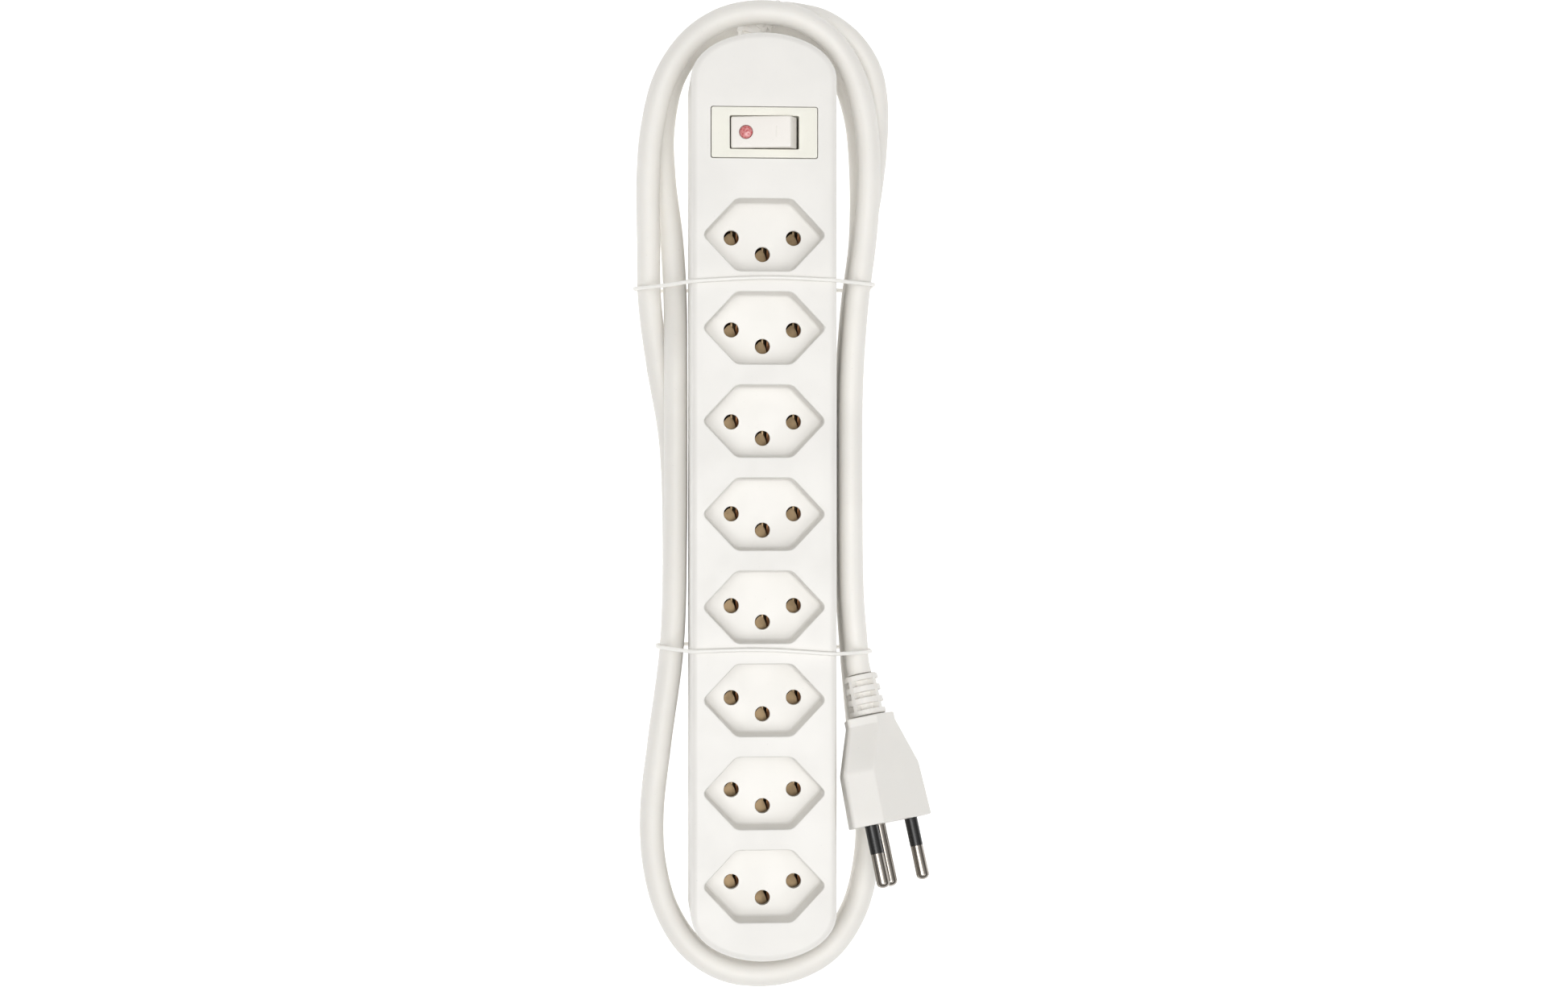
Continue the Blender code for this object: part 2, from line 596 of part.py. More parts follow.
def pivot_empty(name, z, tilt):
    empty = bpy.data.objects.new(name, None)
    bpy.context.scene.collection.objects.link(empty)
    empty.location = (0, SWITCH_Y, z)
    empty.rotation_euler = (0, tilt, 0)
    return empty


def add_rocker(surface, pivot):
    """The rocker, drawn about its pivot: sloped ends, trunnions, plunger bores and the lens hole."""
    top, middle, low = ROCKER_TOP_LENGTH / 2, ROCKER_LENGTH / 2, ROCKER_LENGTH / 2 - 0.0014
    side = [(top, ROCKER_RISE), (middle, 0.0010), (low, -ROCKER_DROP)]
    profile = side + [(-x, z) for x, z in reversed(side)]
    half = ROCKER_WIDTH / 2
    bm = bmesh.new()
    skin(bm, [[(x, y, z) for x, z in profile] for y in (-half, half)])
    rocker = placed(bm, "rocker", surface, pivot)
    edge = rocker.modifiers.new("soft edges", "BEVEL")
    edge.width = 0.0004
    edge.segments = 1

    bm = bmesh.new()
    reach = half + TRUNNION_LENGTH
    turned(bm, [(TRUNNION_RADIUS, -reach), (TRUNNION_RADIUS, reach)])
    bmesh.ops.rotate(bm, matrix=Matrix.Rotation(math.pi / 2, 3, "X"), verts=bm.verts)
    boolean(rocker, placed(bm, "rocker_trunnions", parent=pivot), "UNION")

    bm = bmesh.new()
    for offset in (POLE_OFFSET, -POLE_OFFSET):
        bore = circle(PLUNGER_RADIUS + SLIP, 12)
        prism(bm, bore, -2 * ROCKER_DROP, PLUNGER_BORE_DEPTH - ROCKER_DROP, (0, offset))
    prism(bm, circle(LENS_RADIUS + SLIP), -2 * ROCKER_DROP, 2 * ROCKER_RISE, (LENS_X, 0))
    boolean(rocker, placed(bm, "rocker_bores", parent=pivot), "DIFFERENCE")
    return rocker


def add_rocker_fittings(pivot, lens, glass, brass, steel):
    """The lens and lamp in the rocker, and the spring plunger of each pole."""
    bm = bmesh.new()
    low = ROCKER_RISE - 0.0016
    dome = [(LENS_RADIUS, low), (LENS_RADIUS, ROCKER_RISE), (LENS_RADIUS * 0.8, ROCKER_RISE + 0.0003),
            (LENS_RADIUS * 0.4, ROCKER_RISE + 0.00045)]
    turned(bm, dome, at=(LENS_X, 0))
    placed(bm, "pilot_lens", lens, pivot)

    bm = bmesh.new()
    top, bottom = low - GAP, GAP - ROCKER_DROP
    bulb = [(LAMP_RADIUS * 0.5, bottom), (LAMP_RADIUS, bottom + 0.0006), (LAMP_RADIUS, top - 0.001),
            (LAMP_RADIUS * 0.5, top)]
    turned(bm, bulb, sides=12, at=(LENS_X, 0))
    placed(bm, "neon_lamp", glass, pivot)

    tip = LEVER_Z + LEVER_THICKNESS / 2 + GAP - PIVOT_Z
    for pole, y in POLES.items():
        offset = y - SWITCH_Y
        bm = bmesh.new()
        turned(bm, [(PLUNGER_RADIUS * 0.4, tip), (PLUNGER_RADIUS * 0.85, tip + 0.0004),
                    (PLUNGER_RADIUS, tip + 0.0012), (PLUNGER_RADIUS, -PLUNGER_TOP)], sides=12, at=(0, offset))
        placed(bm, f"plunger_{pole}", brass, pivot)

        low = -PLUNGER_TOP + SPRING_WIRE + SLIP
        high = PLUNGER_BORE_DEPTH - ROCKER_DROP - SPRING_WIRE - SLIP
        radius = PLUNGER_RADIUS - SPRING_WIRE
        count = SPRING_TURNS * 8
        coil = []
        for k in range(count + 1):
            angle = math.tau * k / 8
            height = low + (high - low) * k / count
            coil.append((radius * math.cos(angle), offset + radius * math.sin(angle), height))
        tube(f"plunger_spring_{pole}", coil, SPRING_WIRE / 2, steel, 0, parent=pivot)


def add_contact_levers(pivot, surface):
    """The see-saw contact of each pole, on the edge of its middle blade."""
    x, z = LEVER_LENGTH / 2, LEVER_THICKNESS / 2
    for pole, y in POLES.items():
        offset = y - SWITCH_Y
        bm = bmesh.new()
        box(bm, (-x, offset - LEVER_WIDTH / 2, -z), (x, offset + LEVER_WIDTH / 2, z))
        placed(bm, f"contact_lever_{pole}", surface, pivot)


def add_terminals(surface):
    """Blades through the switch's floor: the levers rock on the in blades and strike the out blades."""
    in_top = LEVER_Z - LEVER_THICKNESS / 2 - GAP
    drop = OUT_BLADE_X * math.tan(LEVER_TILT) + LEVER_THICKNESS / 2 / math.cos(LEVER_TILT) + 2 * GAP
    tops = {"in": (0.0, in_top), "out": (OUT_BLADE_X, LEVER_Z - drop)}
    for pole, y in POLES.items():
        for end, (x, top) in tops.items():
            bm = bmesh.new()
            low = (x - BLADE_THICKNESS / 2, y - BLADE_WIDTH / 2, SWITCH_BOTTOM - BLADE_TAIL)
            box(bm, low, (x + BLADE_THICKNESS / 2, y + BLADE_WIDTH / 2, top))
            placed(bm, f"terminal_{pole}_{end}", surface)


def add_wires(sheaths):
    """The lead's three cores, and the two wires from the switch to the busbars."""
    blade_end = SWITCH_BOTTOM - BLADE_TAIL - GAP
    under = BASE_TOP + GAP + CORE_RADIUS
    tail_end = RELIEF_START - GAP - TAIL_LENGTH - GAP
    upper, lower = CORD_HEIGHT + 0.0008, CORD_HEIGHT - 0.0014
    live, neutral = POLES["live"], POLES["neutral"]
    bar_y = SOCKETS_Y[0] + 0.0111 + GAP
    bar_z = max(BAR_Z + BAR_THICKNESS / 2, under)
    side = PIN_SPACING / 2
    middle = (blade_end + under) / 2
    routes = {
        "wire_live_in": ("live", [
            (EXIT_X + 0.0013, tail_end, upper), (EXIT_X + 0.0013, tail_end - 0.0010, upper),
            (0.0014, live + 0.0040, middle + 0.0030), (0.0005, live + 0.0013, under + 0.0006),
            (0.0000, live + 0.0001, middle), (0.0000, live, blade_end)]),
        "wire_neutral_in": ("neutral", [
            (EXIT_X - 0.0013, tail_end, upper), (EXIT_X - 0.0013, tail_end - 0.0010, upper),
            (-0.0055, neutral + 0.0046, middle + 0.0008), (-0.0036, neutral + 0.0010, under + 0.0004),
            (-0.0006, neutral, under + 0.0008), (0.0000, neutral, blade_end)]),
        "wire_earth": ("earth", [
            (EXIT_X, tail_end, lower), (EXIT_X, tail_end - 0.0010, lower),
            (-0.0046, tail_end - 0.0040, under + 0.0007),
            (-0.0105, live - 0.0003, under), (-0.0126, neutral - 0.0029, under),
            (-0.0080, bar_y + 0.0073, under), (-0.0015, bar_y + 0.0040, under + 0.0003),
            (0.0000, bar_y + 0.0020, bar_z), (0.0000, bar_y, bar_z)]),
        "wire_live_out": ("live", [
            (OUT_BLADE_X, live, blade_end), (OUT_BLADE_X - 0.0003, live - 0.0002, middle),
            (0.0042, live - 0.0020, under + 0.0002), (0.0035, neutral - 0.0010, under),
            (0.0024, neutral - 0.0058, middle), (-0.0030, bar_y + 0.0080, under + 0.0040),
            (-0.0080, bar_y + 0.0050, under + 0.0034), (-side, bar_y + 0.0022, bar_z + 0.0003),
            (-side, bar_y + 0.0010, bar_z), (-side, bar_y, bar_z)]),
        "wire_neutral_out": ("neutral", [
            (OUT_BLADE_X, neutral, blade_end), (OUT_BLADE_X + 0.0003, neutral - 0.0003, middle),
            (0.0092, neutral - 0.0034, under + 0.0003), (0.0105, bar_y + 0.0078, under),
            (side, bar_y + 0.0026, bar_z), (side, bar_y, bar_z)]),
    }
    for name, (pole, points) in routes.items():
        tube(name, smooth_line(points, 2), CORE_RADIUS, sheaths[pole])


def boot_rings():
    """Circles along the boot: a collar inside the end wall, a neck through it, and a bend towards +X."""
    stations = [(0.0, RELIEF_COLLAR_RADIUS), (RELIEF_COLLAR, RELIEF_COLLAR_RADIUS),
                (RELIEF_COLLAR, RELIEF_ROOT_RADIUS), (RELIEF_INSIDE, RELIEF_ROOT_RADIUS)]
    rings = []
    for along, radius in stations:
        rings.append([(EXIT_X + x, RELIEF_START + along, CORD_HEIGHT + z) for x, z in circle(radius)])
    steps = 8
    centre = Vector((EXIT_X + RELIEF_BEND, EXIT_Y, CORD_HEIGHT))
    for k in range(1, steps + 1):
        radius = RELIEF_ROOT_RADIUS + (RELIEF_TIP_RADIUS - RELIEF_ROOT_RADIUS) * k / steps
        turn = Matrix.Rotation(-math.pi / 2 * k / steps, 3, "Z")
        rings.append([centre + turn @ Vector((x - RELIEF_BEND, 0, z)) for x, z in circle(radius)])
    return rings


def add_cord_exit(surface, sheath):
    bm = bmesh.new()
    skin(bm, boot_rings())
    placed(bm, "cord_relief", surface)
    start = RELIEF_START - GAP
    tube("cord_tail", [(EXIT_X, start, CORD_HEIGHT), (EXIT_X, start - TAIL_LENGTH, CORD_HEIGHT)], CORD_RADIUS,
         sheath, 2)


def add_cord_grip(surface, steel):
    """The bar over the lead's tail, screwed down to the base."""
    bm = bmesh.new()
    outline = rectangle(CLAMP_LENGTH, CLAMP_WIDTH, 0.0012)
    prism(bm, outline, CLAMP_Z, CLAMP_Z + CLAMP_THICKNESS, (EXIT_X, CLAMP_Y))
    bar = placed(bm, "cord_clamp", surface)
    bm = bmesh.new()
    for side in (-1, 1):
        hole = circle(SCREW_SHANK_RADIUS + SLIP)
        place = (EXIT_X + side * CLAMP_SCREW_OFFSET, CLAMP_Y)
        prism(bm, hole, CLAMP_Z - GAP, CLAMP_Z + CLAMP_THICKNESS + GAP, place)
    boolean(bar, placed(bm, "clamp_holes"), "DIFFERENCE")
    head = CLAMP_Z + CLAMP_THICKNESS + GAP + SCREW_HEAD_HEIGHT
    for number, side in ((1, -1), (2, 1)):
        add_screw(f"clamp_screw_{number}", steel, (EXIT_X + side * CLAMP_SCREW_OFFSET, CLAMP_Y), head, -1)


def plug_frame():
    """The plug's own axes: X across the pins, Z out of its face, with the earth pin on -Y."""
    level = Vector((math.sin(PLUG_HEADING), -math.cos(PLUG_HEADING), 0))
    out = level * math.cos(PLUG_PITCH) + Vector((0, 0, math.sin(PLUG_PITCH)))
    right = Vector((0, 0, 1)).cross(out).normalized()
    up = out.cross(right)
    across = right * math.cos(PLUG_ROLL) - up * math.sin(PLUG_ROLL)
    axes = Matrix((across, out.cross(across), out)).transposed()
    face = (WIDTH / 2 + PLUG_FACE_X, PLUG_FACE_Y, PLUG_FACE_Z)
    return Matrix.Translation(face) @ axes.to_4x4()


def route():
    """The lead's axis from the boot to the plug: twice round the strip, then down its right side."""
    plug_end = plug_frame() @ Vector((0, 0, -PLUG_BODY_LENGTH - PLUG_RELIEF_LENGTH - 2 * GAP))
    points = [(x, y, SECOND) for x, y in EXIT_BEND]
    points += [(x, y, SECOND) for x, y in RIGHT_SIDE]
    points += [(x, y, LYING + STACK + lift) for x, y, lift in FAR_BEND]
    points += FIRST_LEFT_SIDE
    points += [(x, y, LYING) for x, y in LOW_ARCH]
    points += [(x, y, ON_TIE) for x, y in RIGHT_SIDE]
    points += [(x, y, LYING + lift) for x, y, lift in FAR_BEND]
    points += SECOND_LEFT_SIDE
    points += HIGH_ARCH
    points += [(x, y, THIRD) for x, y in RIGHT_SIDE]
    points += TO_PLUG
    return points + [plug_end - (plug_frame().to_3x3().col[2]) * 0.004, plug_end]


def add_power_cord(surface):
    line = smooth_line(route())
    points = [line[0], *thinned(line[8:-8], CORD_POINTS - 2), line[-1]]
    tube("power_cord", points, CORD_RADIUS, surface, 2)


def add_plug(surface, metal, sleeve_surface):
    axis = bpy.data.objects.new("plug_axis", None)
    bpy.context.scene.collection.objects.link(axis)
    axis.matrix_world = plug_frame()
    long, wide = RECESS_LENGTH - 2 * PLUG_FIT, RECESS_WIDTH - 2 * PLUG_FIT

    bm = bmesh.new()
    neck = hexagon(PLUG_NECK_LENGTH, PLUG_NECK_WIDTH, 0.0011)
    grip = hexagon(long * 0.96, wide * 0.96, 0.0011, PLUG_BACK * 0.98)
    face = hexagon(long, wide, 0.0011, PLUG_BACK)
    rings = [(neck, -PLUG_BODY_LENGTH), (neck, -PLUG_BODY_LENGTH + 0.0015), (grip, -PLUG_GRIP_LENGTH),
             (face, 0.0)]
    skin(bm, [[(x, y, z) for x, y in outline] for outline, z in rings])
    body = placed(bm, "plug_body", surface, axis)
    bm = bmesh.new()
    for place in PIN_PLACES.values():
        prism(bm, circle(PIN_RADIUS + GAP), -PIN_ROOT - GAP, GAP, place)
    boolean(body, placed(bm, "plug_bores", parent=axis), "DIFFERENCE")

    bm = bmesh.new()
    end = -PLUG_BODY_LENGTH - GAP
    turned(bm, [(PLUG_RELIEF_RADIUS * 0.96, end - PLUG_RELIEF_LENGTH), (PLUG_RELIEF_RADIUS, end)])
    placed(bm, "plug_relief", surface, axis)

    for pole, (x, y) in PIN_PLACES.items():
        place = (-x, y)  # the plug faces the socket, so live and neutral change sides
        root = [(PIN_RADIUS, -PIN_ROOT)]
        if pole != "earth":
            root = [(PIN_CORE_RADIUS, -PIN_ROOT), (PIN_CORE_RADIUS, SLEEVE_LENGTH + GAP),
                    (PIN_RADIUS, SLEEVE_LENGTH + GAP)]
        tip = [(PIN_RADIUS, PIN_LENGTH - 0.0014), (PIN_RADIUS * 0.8, PIN_LENGTH - 0.0004),
               (PIN_RADIUS * 0.4, PIN_LENGTH)]
        bm = bmesh.new()
        turned(bm, root + tip, at=place)
        placed(bm, f"plug_pin_{pole}", metal, axis)
        if pole == "earth":
            continue
        bm = bmesh.new()
        prism(bm, circle(PIN_RADIUS), -PIN_ROOT / 4, SLEEVE_LENGTH, place)
        sleeve = placed(bm, f"pin_sleeve_{pole}", sleeve_surface, axis)
        bm = bmesh.new()
        prism(bm, circle(PIN_CORE_RADIUS + SLIP), -PIN_ROOT, PIN_LENGTH, place)
        boolean(sleeve, placed(bm, f"sleeve_bore_{pole}", parent=axis), "DIFFERENCE")


def convex_path(points):
    """The convex outline of points in a plane, anticlockwise."""
    points = sorted(set(points))

    def half(ordered):
        chain = []
        for p in ordered:
            while len(chain) > 1:
                a, b = chain[-2], chain[-1]
                if (b[0] - a[0]) * (p[1] - a[1]) > (b[1] - a[1]) * (p[0] - a[0]):
                    break
                chain.pop()
            chain.append(p)
        return chain[:-1]

    return half(points) + half(reversed(points))


def add_tie(name, y, surface, strands):
    """An elastic band pulled taut round the housing and the strands of the lead beside it."""
    clear = TIE_RADIUS + GAP
    rounds = [(x, z, CORD_RADIUS + clear) for x, z in strands]
    shoulder = WIDTH / 2 - EDGE_RADIUS
    rounds += [(side * shoulder, HEIGHT - EDGE_RADIUS, EDGE_RADIUS + clear) for side in (-1, 1)]
    points = []
    for x, z, radius in rounds:
        for dx, dz in circle(radius / math.cos(math.pi / 24), 24):
            points.append((round(x + dx, 7), round(z + dz, 7)))
    tube(name, [(x, y, z) for x, z in convex_path(points)], TIE_RADIUS, surface, 1, closed=True)


def strands_at(y, near):
    """Where the lead crosses a plane across the strip, as (x, height)."""
    line = smooth_line(route())
    crossings = []
    for a, b in zip(line, line[1:]):
        if (a.y - y) * (b.y - y) < 0 and abs(a.x) < near:
            spot = a.lerp(b, (y - a.y) / (b.y - a.y))
            crossings.append((spot.x, spot.z))
    return crossings


clear_scene()

white = material("cover_white", (0.86, 0.85, 0.82), 0.42)
base_white = material("base_white", (0.84, 0.83, 0.80), 0.5)
ivory = material("switch_ivory", (0.87, 0.85, 0.74), 0.35)
rocker_white = material("rocker_white", (0.90, 0.85, 0.80), 0.3)
red = material("lens_red", (0.75, 0.10, 0.12), 0.15)
clear = material("lamp_glass", (0.80, 0.78, 0.75), 0.1)
brass = material("contact_brass", (0.72, 0.52, 0.25), 0.35, 1.0)
steel = material("zinc_steel", (0.62, 0.62, 0.60), 0.35, 1.0)
nickel = material("pin_nickel", (0.75, 0.72, 0.68), 0.2, 1.0)
black = material("sleeve_black", (0.02, 0.02, 0.02), 0.4)
grey = material("carrier_grey", (0.45, 0.45, 0.44), 0.55)
lead_white = material("lead_pvc", (0.74, 0.71, 0.66), 0.5)
plug_white = material("plug_pvc", (0.76, 0.74, 0.71), 0.5)
elastic = material("tie_elastic", (0.85, 0.84, 0.82), 0.45)
cores = {
    "live": material("core_brown", (0.25, 0.12, 0.06), 0.45),
    "neutral": material("core_blue", (0.08, 0.16, 0.50), 0.45),
    "earth": material("core_green_yellow", (0.45, 0.60, 0.10), 0.45),
}

top_cover = add_top_cover(white)
base_cover = add_base_cover(base_white)
add_exit_hole(top_cover, base_cover)
seat_z = SPLIT_HEIGHT - GAP / 2 - SCREW_SEAT - GAP - SCREW_HEAD_HEIGHT
for number, spot in enumerate(SCREWS, 1):
    add_screw(f"housing_screw_{number}", steel, spot, seat_z, 1)

add_contact_carrier(grey)
for pole in PIN_PLACES:
    add_busbar(f"{pole}_busbar", pole, brass)

add_switch_body(ivory)
rocker_pivot = pivot_empty("rocker_pivot", PIVOT_Z, -ROCKER_TILT)
add_rocker(rocker_white, rocker_pivot)
add_rocker_fittings(rocker_pivot, red, clear, brass, steel)
add_contact_levers(pivot_empty("lever_pivot", LEVER_Z, LEVER_TILT), brass)
add_terminals(brass)

add_wires(cores)
add_cord_exit(plug_white, lead_white)
add_cord_grip(grey, steel)
add_power_cord(lead_white)
add_plug(plug_white, nickel, black)
for name, y in (("tie_upper", TIE_UPPER_Y), ("tie_lower", TIE_LOWER_Y)):
    add_tie(name, y, elastic, strands_at(y, WIDTH))
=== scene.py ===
"""The looks of a power strip with a wound mains lead, around its fixed CAD frame."""

import math

import bmesh
import bpy
from mathutils import Matrix, Vector


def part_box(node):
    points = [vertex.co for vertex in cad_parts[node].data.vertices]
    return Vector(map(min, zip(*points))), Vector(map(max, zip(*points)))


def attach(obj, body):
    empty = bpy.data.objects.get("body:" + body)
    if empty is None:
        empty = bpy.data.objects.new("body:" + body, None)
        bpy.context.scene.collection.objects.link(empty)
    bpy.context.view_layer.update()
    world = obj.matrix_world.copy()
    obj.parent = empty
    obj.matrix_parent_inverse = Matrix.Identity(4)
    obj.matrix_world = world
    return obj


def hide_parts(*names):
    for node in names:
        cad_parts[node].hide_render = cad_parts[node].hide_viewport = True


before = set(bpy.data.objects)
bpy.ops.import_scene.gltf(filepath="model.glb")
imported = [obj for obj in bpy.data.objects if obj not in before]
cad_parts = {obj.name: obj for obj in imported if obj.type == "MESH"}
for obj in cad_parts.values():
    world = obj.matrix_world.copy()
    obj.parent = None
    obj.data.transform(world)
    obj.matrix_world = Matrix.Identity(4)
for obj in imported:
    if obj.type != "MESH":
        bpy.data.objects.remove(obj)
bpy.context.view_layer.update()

# ---------------------------------------------------------------------------------------------------
# Camera, floor and light: the strip lies on a white table that glows a little, as a light table does,
# under a bright ceiling with dim walls round it. It is seen from above and a little from its left.

camera = bpy.data.objects.new("camera", bpy.data.cameras.new("camera"))
bpy.context.scene.collection.objects.link(camera)
AIM = Vector((0.0059, 0.0011, 0.0360))
camera.location = (-0.0440, 0.0025, 0.7490)
back = (camera.location - AIM).normalized()
right = Vector((0.0, 1.0, 0.0)).cross(back).normalized()
camera.rotation_euler = Matrix((right, back.cross(right), back)).transposed().to_euler()
camera.data.lens = 54.57
camera.data.clip_start = 0.01
bpy.context.scene.camera = camera


def plug_in(socket, value):
    """Gives a shader input its value: a number, a colour, or another node's output."""
    if isinstance(value, Signal):
        value.tree.links.new(value.socket, socket)
    elif hasattr(value, "__len__") and len(value) == 3 and len(socket.default_value) == 4:
        socket.default_value = (*value, 1.0)
    else:
        socket.default_value = value


class Signal:
    """A shader node's output that takes part in sums."""

    def __init__(self, tree, socket):
        self.tree, self.socket = tree, socket

    def maths(self, operation, *others):
        node = self.tree.nodes.new("ShaderNodeMath")
        node.operation = operation
        for socket, value in zip(node.inputs, (self, *others)):
            plug_in(socket, value)
        return Signal(self.tree, node.outputs[0])

    def __add__(self, other):
        return self.maths("ADD", other)

    def __mul__(self, other):
        return self.maths("MULTIPLY", other)

    def from_to(self, low, high):
        """0 at low, 1 at high, and smooth in between."""
        node = self.tree.nodes.new("ShaderNodeMapRange")
        node.interpolation_type = "SMOOTHSTEP"
        for socket, value in zip(node.inputs, (self, low, high, 0.0, 1.0)):
            plug_in(socket, value)
        return Signal(self.tree, node.outputs[0])


class Look:
    """A node material: a Principled shader, with patterns laid out in metres on the piece itself."""

    def __init__(self, name, **constants):
        self.material = bpy.data.materials.new(name)
        self.material.use_nodes = True
        self.tree = self.material.node_tree
        self.shader = self.tree.nodes["Principled BSDF"]
        self.place = self.node("ShaderNodeTexCoord", "Object")
        self.surface(**constants)

    def node(self, kind, output=0, settings=None, **inputs):
        node = self.tree.nodes.new(kind)
        for key, value in (settings or {}).items():
            setattr(node, key, value)
        for key, value in inputs.items():
            plug_in(node.inputs[key.replace("_", " ")], value)
        return Signal(self.tree, node.outputs[output])

    def surface(self, **inputs):
        for key, value in inputs.items():
            plug_in(self.shader.inputs[key.replace("_", " ")], value)

    def stretched(self, x, y, z):
        """The pattern's coordinates, squeezed along each axis."""
        node = self.tree.nodes.new("ShaderNodeVectorMath")
        node.operation = "MULTIPLY"
        plug_in(node.inputs[0], self.place)
        node.inputs[1].default_value = (x, y, z)
        return Signal(self.tree, node.outputs[0])

    def axis(self, name):
        return self.node("ShaderNodeSeparateXYZ", name, Vector=self.place)

    def noise(self, scale, detail=3.0, vector=None):
        return self.node("ShaderNodeTexNoise", Vector=vector or self.place, Scale=scale, Detail=detail)

    def blend(self, factor, first, second):
        node = self.tree.nodes.new("ShaderNodeMix")
        node.data_type = "RGBA"
        for socket, value in ((node.inputs[0], factor), (node.inputs[6], first), (node.inputs[7], second)):
            plug_in(socket, value)
        return Signal(self.tree, node.outputs[2])

    def relief(self, height, depth, under=None):
        """A bump whose height of 1 stands this many metres proud."""
        inputs = {"Height": height, "Distance": depth}
        if under:
            inputs["Normal"] = under
        return self.node("ShaderNodeBump", **inputs)


bm = bmesh.new()
bmesh.ops.create_grid(bm, x_segments=8, y_segments=8, size=8.0)
mesh = bpy.data.meshes.new("table")
bm.to_mesh(mesh)
bm.free()
table = bpy.data.objects.new("table", mesh)
bpy.context.scene.collection.objects.link(table)
table_look = Look("table_white", Roughness=0.65, Specular_IOR_Level=0.2, Emission_Color=(1.0, 1.0, 1.0),
                  Emission_Strength=1.0)
table_look.surface(Base_Color=table_look.blend(table_look.noise(6.0), (0.36, 0.36, 0.36), (0.38, 0.38, 0.38)))
mesh.materials.append(table_look.material)

world = bpy.data.worlds.new("studio")
bpy.context.scene.world = world
world.use_nodes = True
background = world.node_tree.nodes["Background"]
way = world.node_tree.nodes.new("ShaderNodeTexCoord")
rise = world.node_tree.nodes.new("ShaderNodeSeparateXYZ")
ramp = world.node_tree.nodes.new("ShaderNodeValToRGB")
world.node_tree.links.new(way.outputs["Generated"], rise.inputs[0])
world.node_tree.links.new(rise.outputs["Z"], ramp.inputs[0])
world.node_tree.links.new(ramp.outputs["Color"], background.inputs["Color"])
WALLS, CEILING = (0.46, 0.45, 0.43, 1.0), (1.0, 1.0, 1.0, 1.0)
for stop, height, colour in zip(ramp.color_ramp.elements, (0.50, 0.62), (WALLS, CEILING)):
    stop.position = height
    stop.color = colour
background.inputs["Strength"].default_value = 0.52


def softbox(name, place, size, power, aim=(0.0, 0.0, 0.02)):
    light = bpy.data.lights.new(name, "AREA")
    light.shape = "RECTANGLE"
    light.size, light.size_y = size
    light.energy = power
    lamp = bpy.data.objects.new(name, light)
    bpy.context.scene.collection.objects.link(lamp)
    lamp.location = place
    lamp.rotation_mode = "QUATERNION"
    lamp.rotation_quaternion = (Vector(aim) - Vector(place)).to_track_quat("-Z", "Y")


softbox("key", (-0.16, -0.12, 1.50), (0.9, 0.9), 10.5)
softbox("fill", (0.55, -0.35, 1.40), (1.2, 1.2), 4.0)

bpy.context.scene.view_settings.view_transform = "Standard"

# ---------------------------------------------------------------------------------------------------
# The mains lead: a round white PVC sheath over three twisted cores. It leaves the end wall, runs twice
# round the strip, and once more half way round on top, and ends at the plug on the strip's right side.

LYING, ON_TIE, SECOND, THIRD, STACK = 0.00375, 0.00535, 0.01295, 0.0206, 0.0076
CORD_RADIUS = 0.00365
GAP = 0.0003
EXIT_BEND = [(0.0068, 0.1500), (0.0088, 0.1500), (0.0193, 0.1479), (0.0282, 0.1419), (0.0342, 0.1330),
             (0.0363, 0.1225), (0.0360, 0.1080), (0.0345, 0.0950)]
RIGHT_SIDE = [(0.0320, 0.0800), (0.0295, 0.0600), (0.0278, 0.0350), (0.0276, 0.0000), (0.0280, -0.0300)]
FAR_BEND = [(0.0292, -0.0480, 0.0016), (0.0316, -0.0740, 0.0003), (0.0342, -0.0980, 0.0000),
            (0.0338, -0.1130, 0.0000), (0.0299, -0.1290, 0.0000), (0.0220, -0.1408, 0.0000),
            (0.0115, -0.1468, 0.0000), (0.0000, -0.1486, 0.0000), (-0.0115, -0.1466, 0.0000),
            (-0.0218, -0.1396, 0.0000), (-0.0290, -0.1280, 0.0000), (-0.0328, -0.1130, 0.0000),
            (-0.0334, -0.0980, 0.0000), (-0.0310, -0.0760, 0.0003), (-0.0272, -0.0460, 0.0016)]
FIRST_LEFT_SIDE = [(-0.0262, -0.0120, SECOND), (-0.0261, 0.0180, 0.01290), (-0.0261, 0.0420, 0.01190),
                   (-0.0261, 0.0620, 0.00560), (-0.0272, 0.0810, 0.00440), (-0.0294, 0.0990, 0.00380)]
LOW_ARCH = [(-0.0298, 0.1150), (-0.0262, 0.1316), (-0.0182, 0.1424), (-0.0070, 0.1478), (0.0046, 0.1480),
            (0.0160, 0.1436), (0.0252, 0.1342), (0.0304, 0.1205), (0.0322, 0.1050)]
SECOND_LEFT_SIDE = [(-0.0264, -0.0120, ON_TIE), (-0.0276, 0.0180, ON_TIE), (-0.0316, 0.0420, ON_TIE),
                    (-0.0341, 0.0620, 0.00560), (-0.0344, 0.0800, 0.00830), (-0.0346, 0.0980, 0.01280)]
HIGH_ARCH = [(-0.0334, 0.1130, 0.0170), (-0.0294, 0.1284, 0.0202), (-0.0216, 0.1398, 0.0214),
             (-0.0116, 0.1464, 0.0216), (0.0000, 0.1486, 0.0216), (0.0114, 0.1468, 0.0216),
             (0.0216, 0.1402, 0.0215), (0.0284, 0.1295, 0.0213), (0.0321, 0.1155, 0.0210),
             (0.0331, 0.0990, 0.0208)]
TO_PLUG = [(0.0291, -0.0445, 0.0209)]
PLUG_FACE = (0.0390, -0.0988, 0.0299)
PLUG_BODY_LENGTH, PLUG_RELIEF_LENGTH = 0.0326, 0.0126


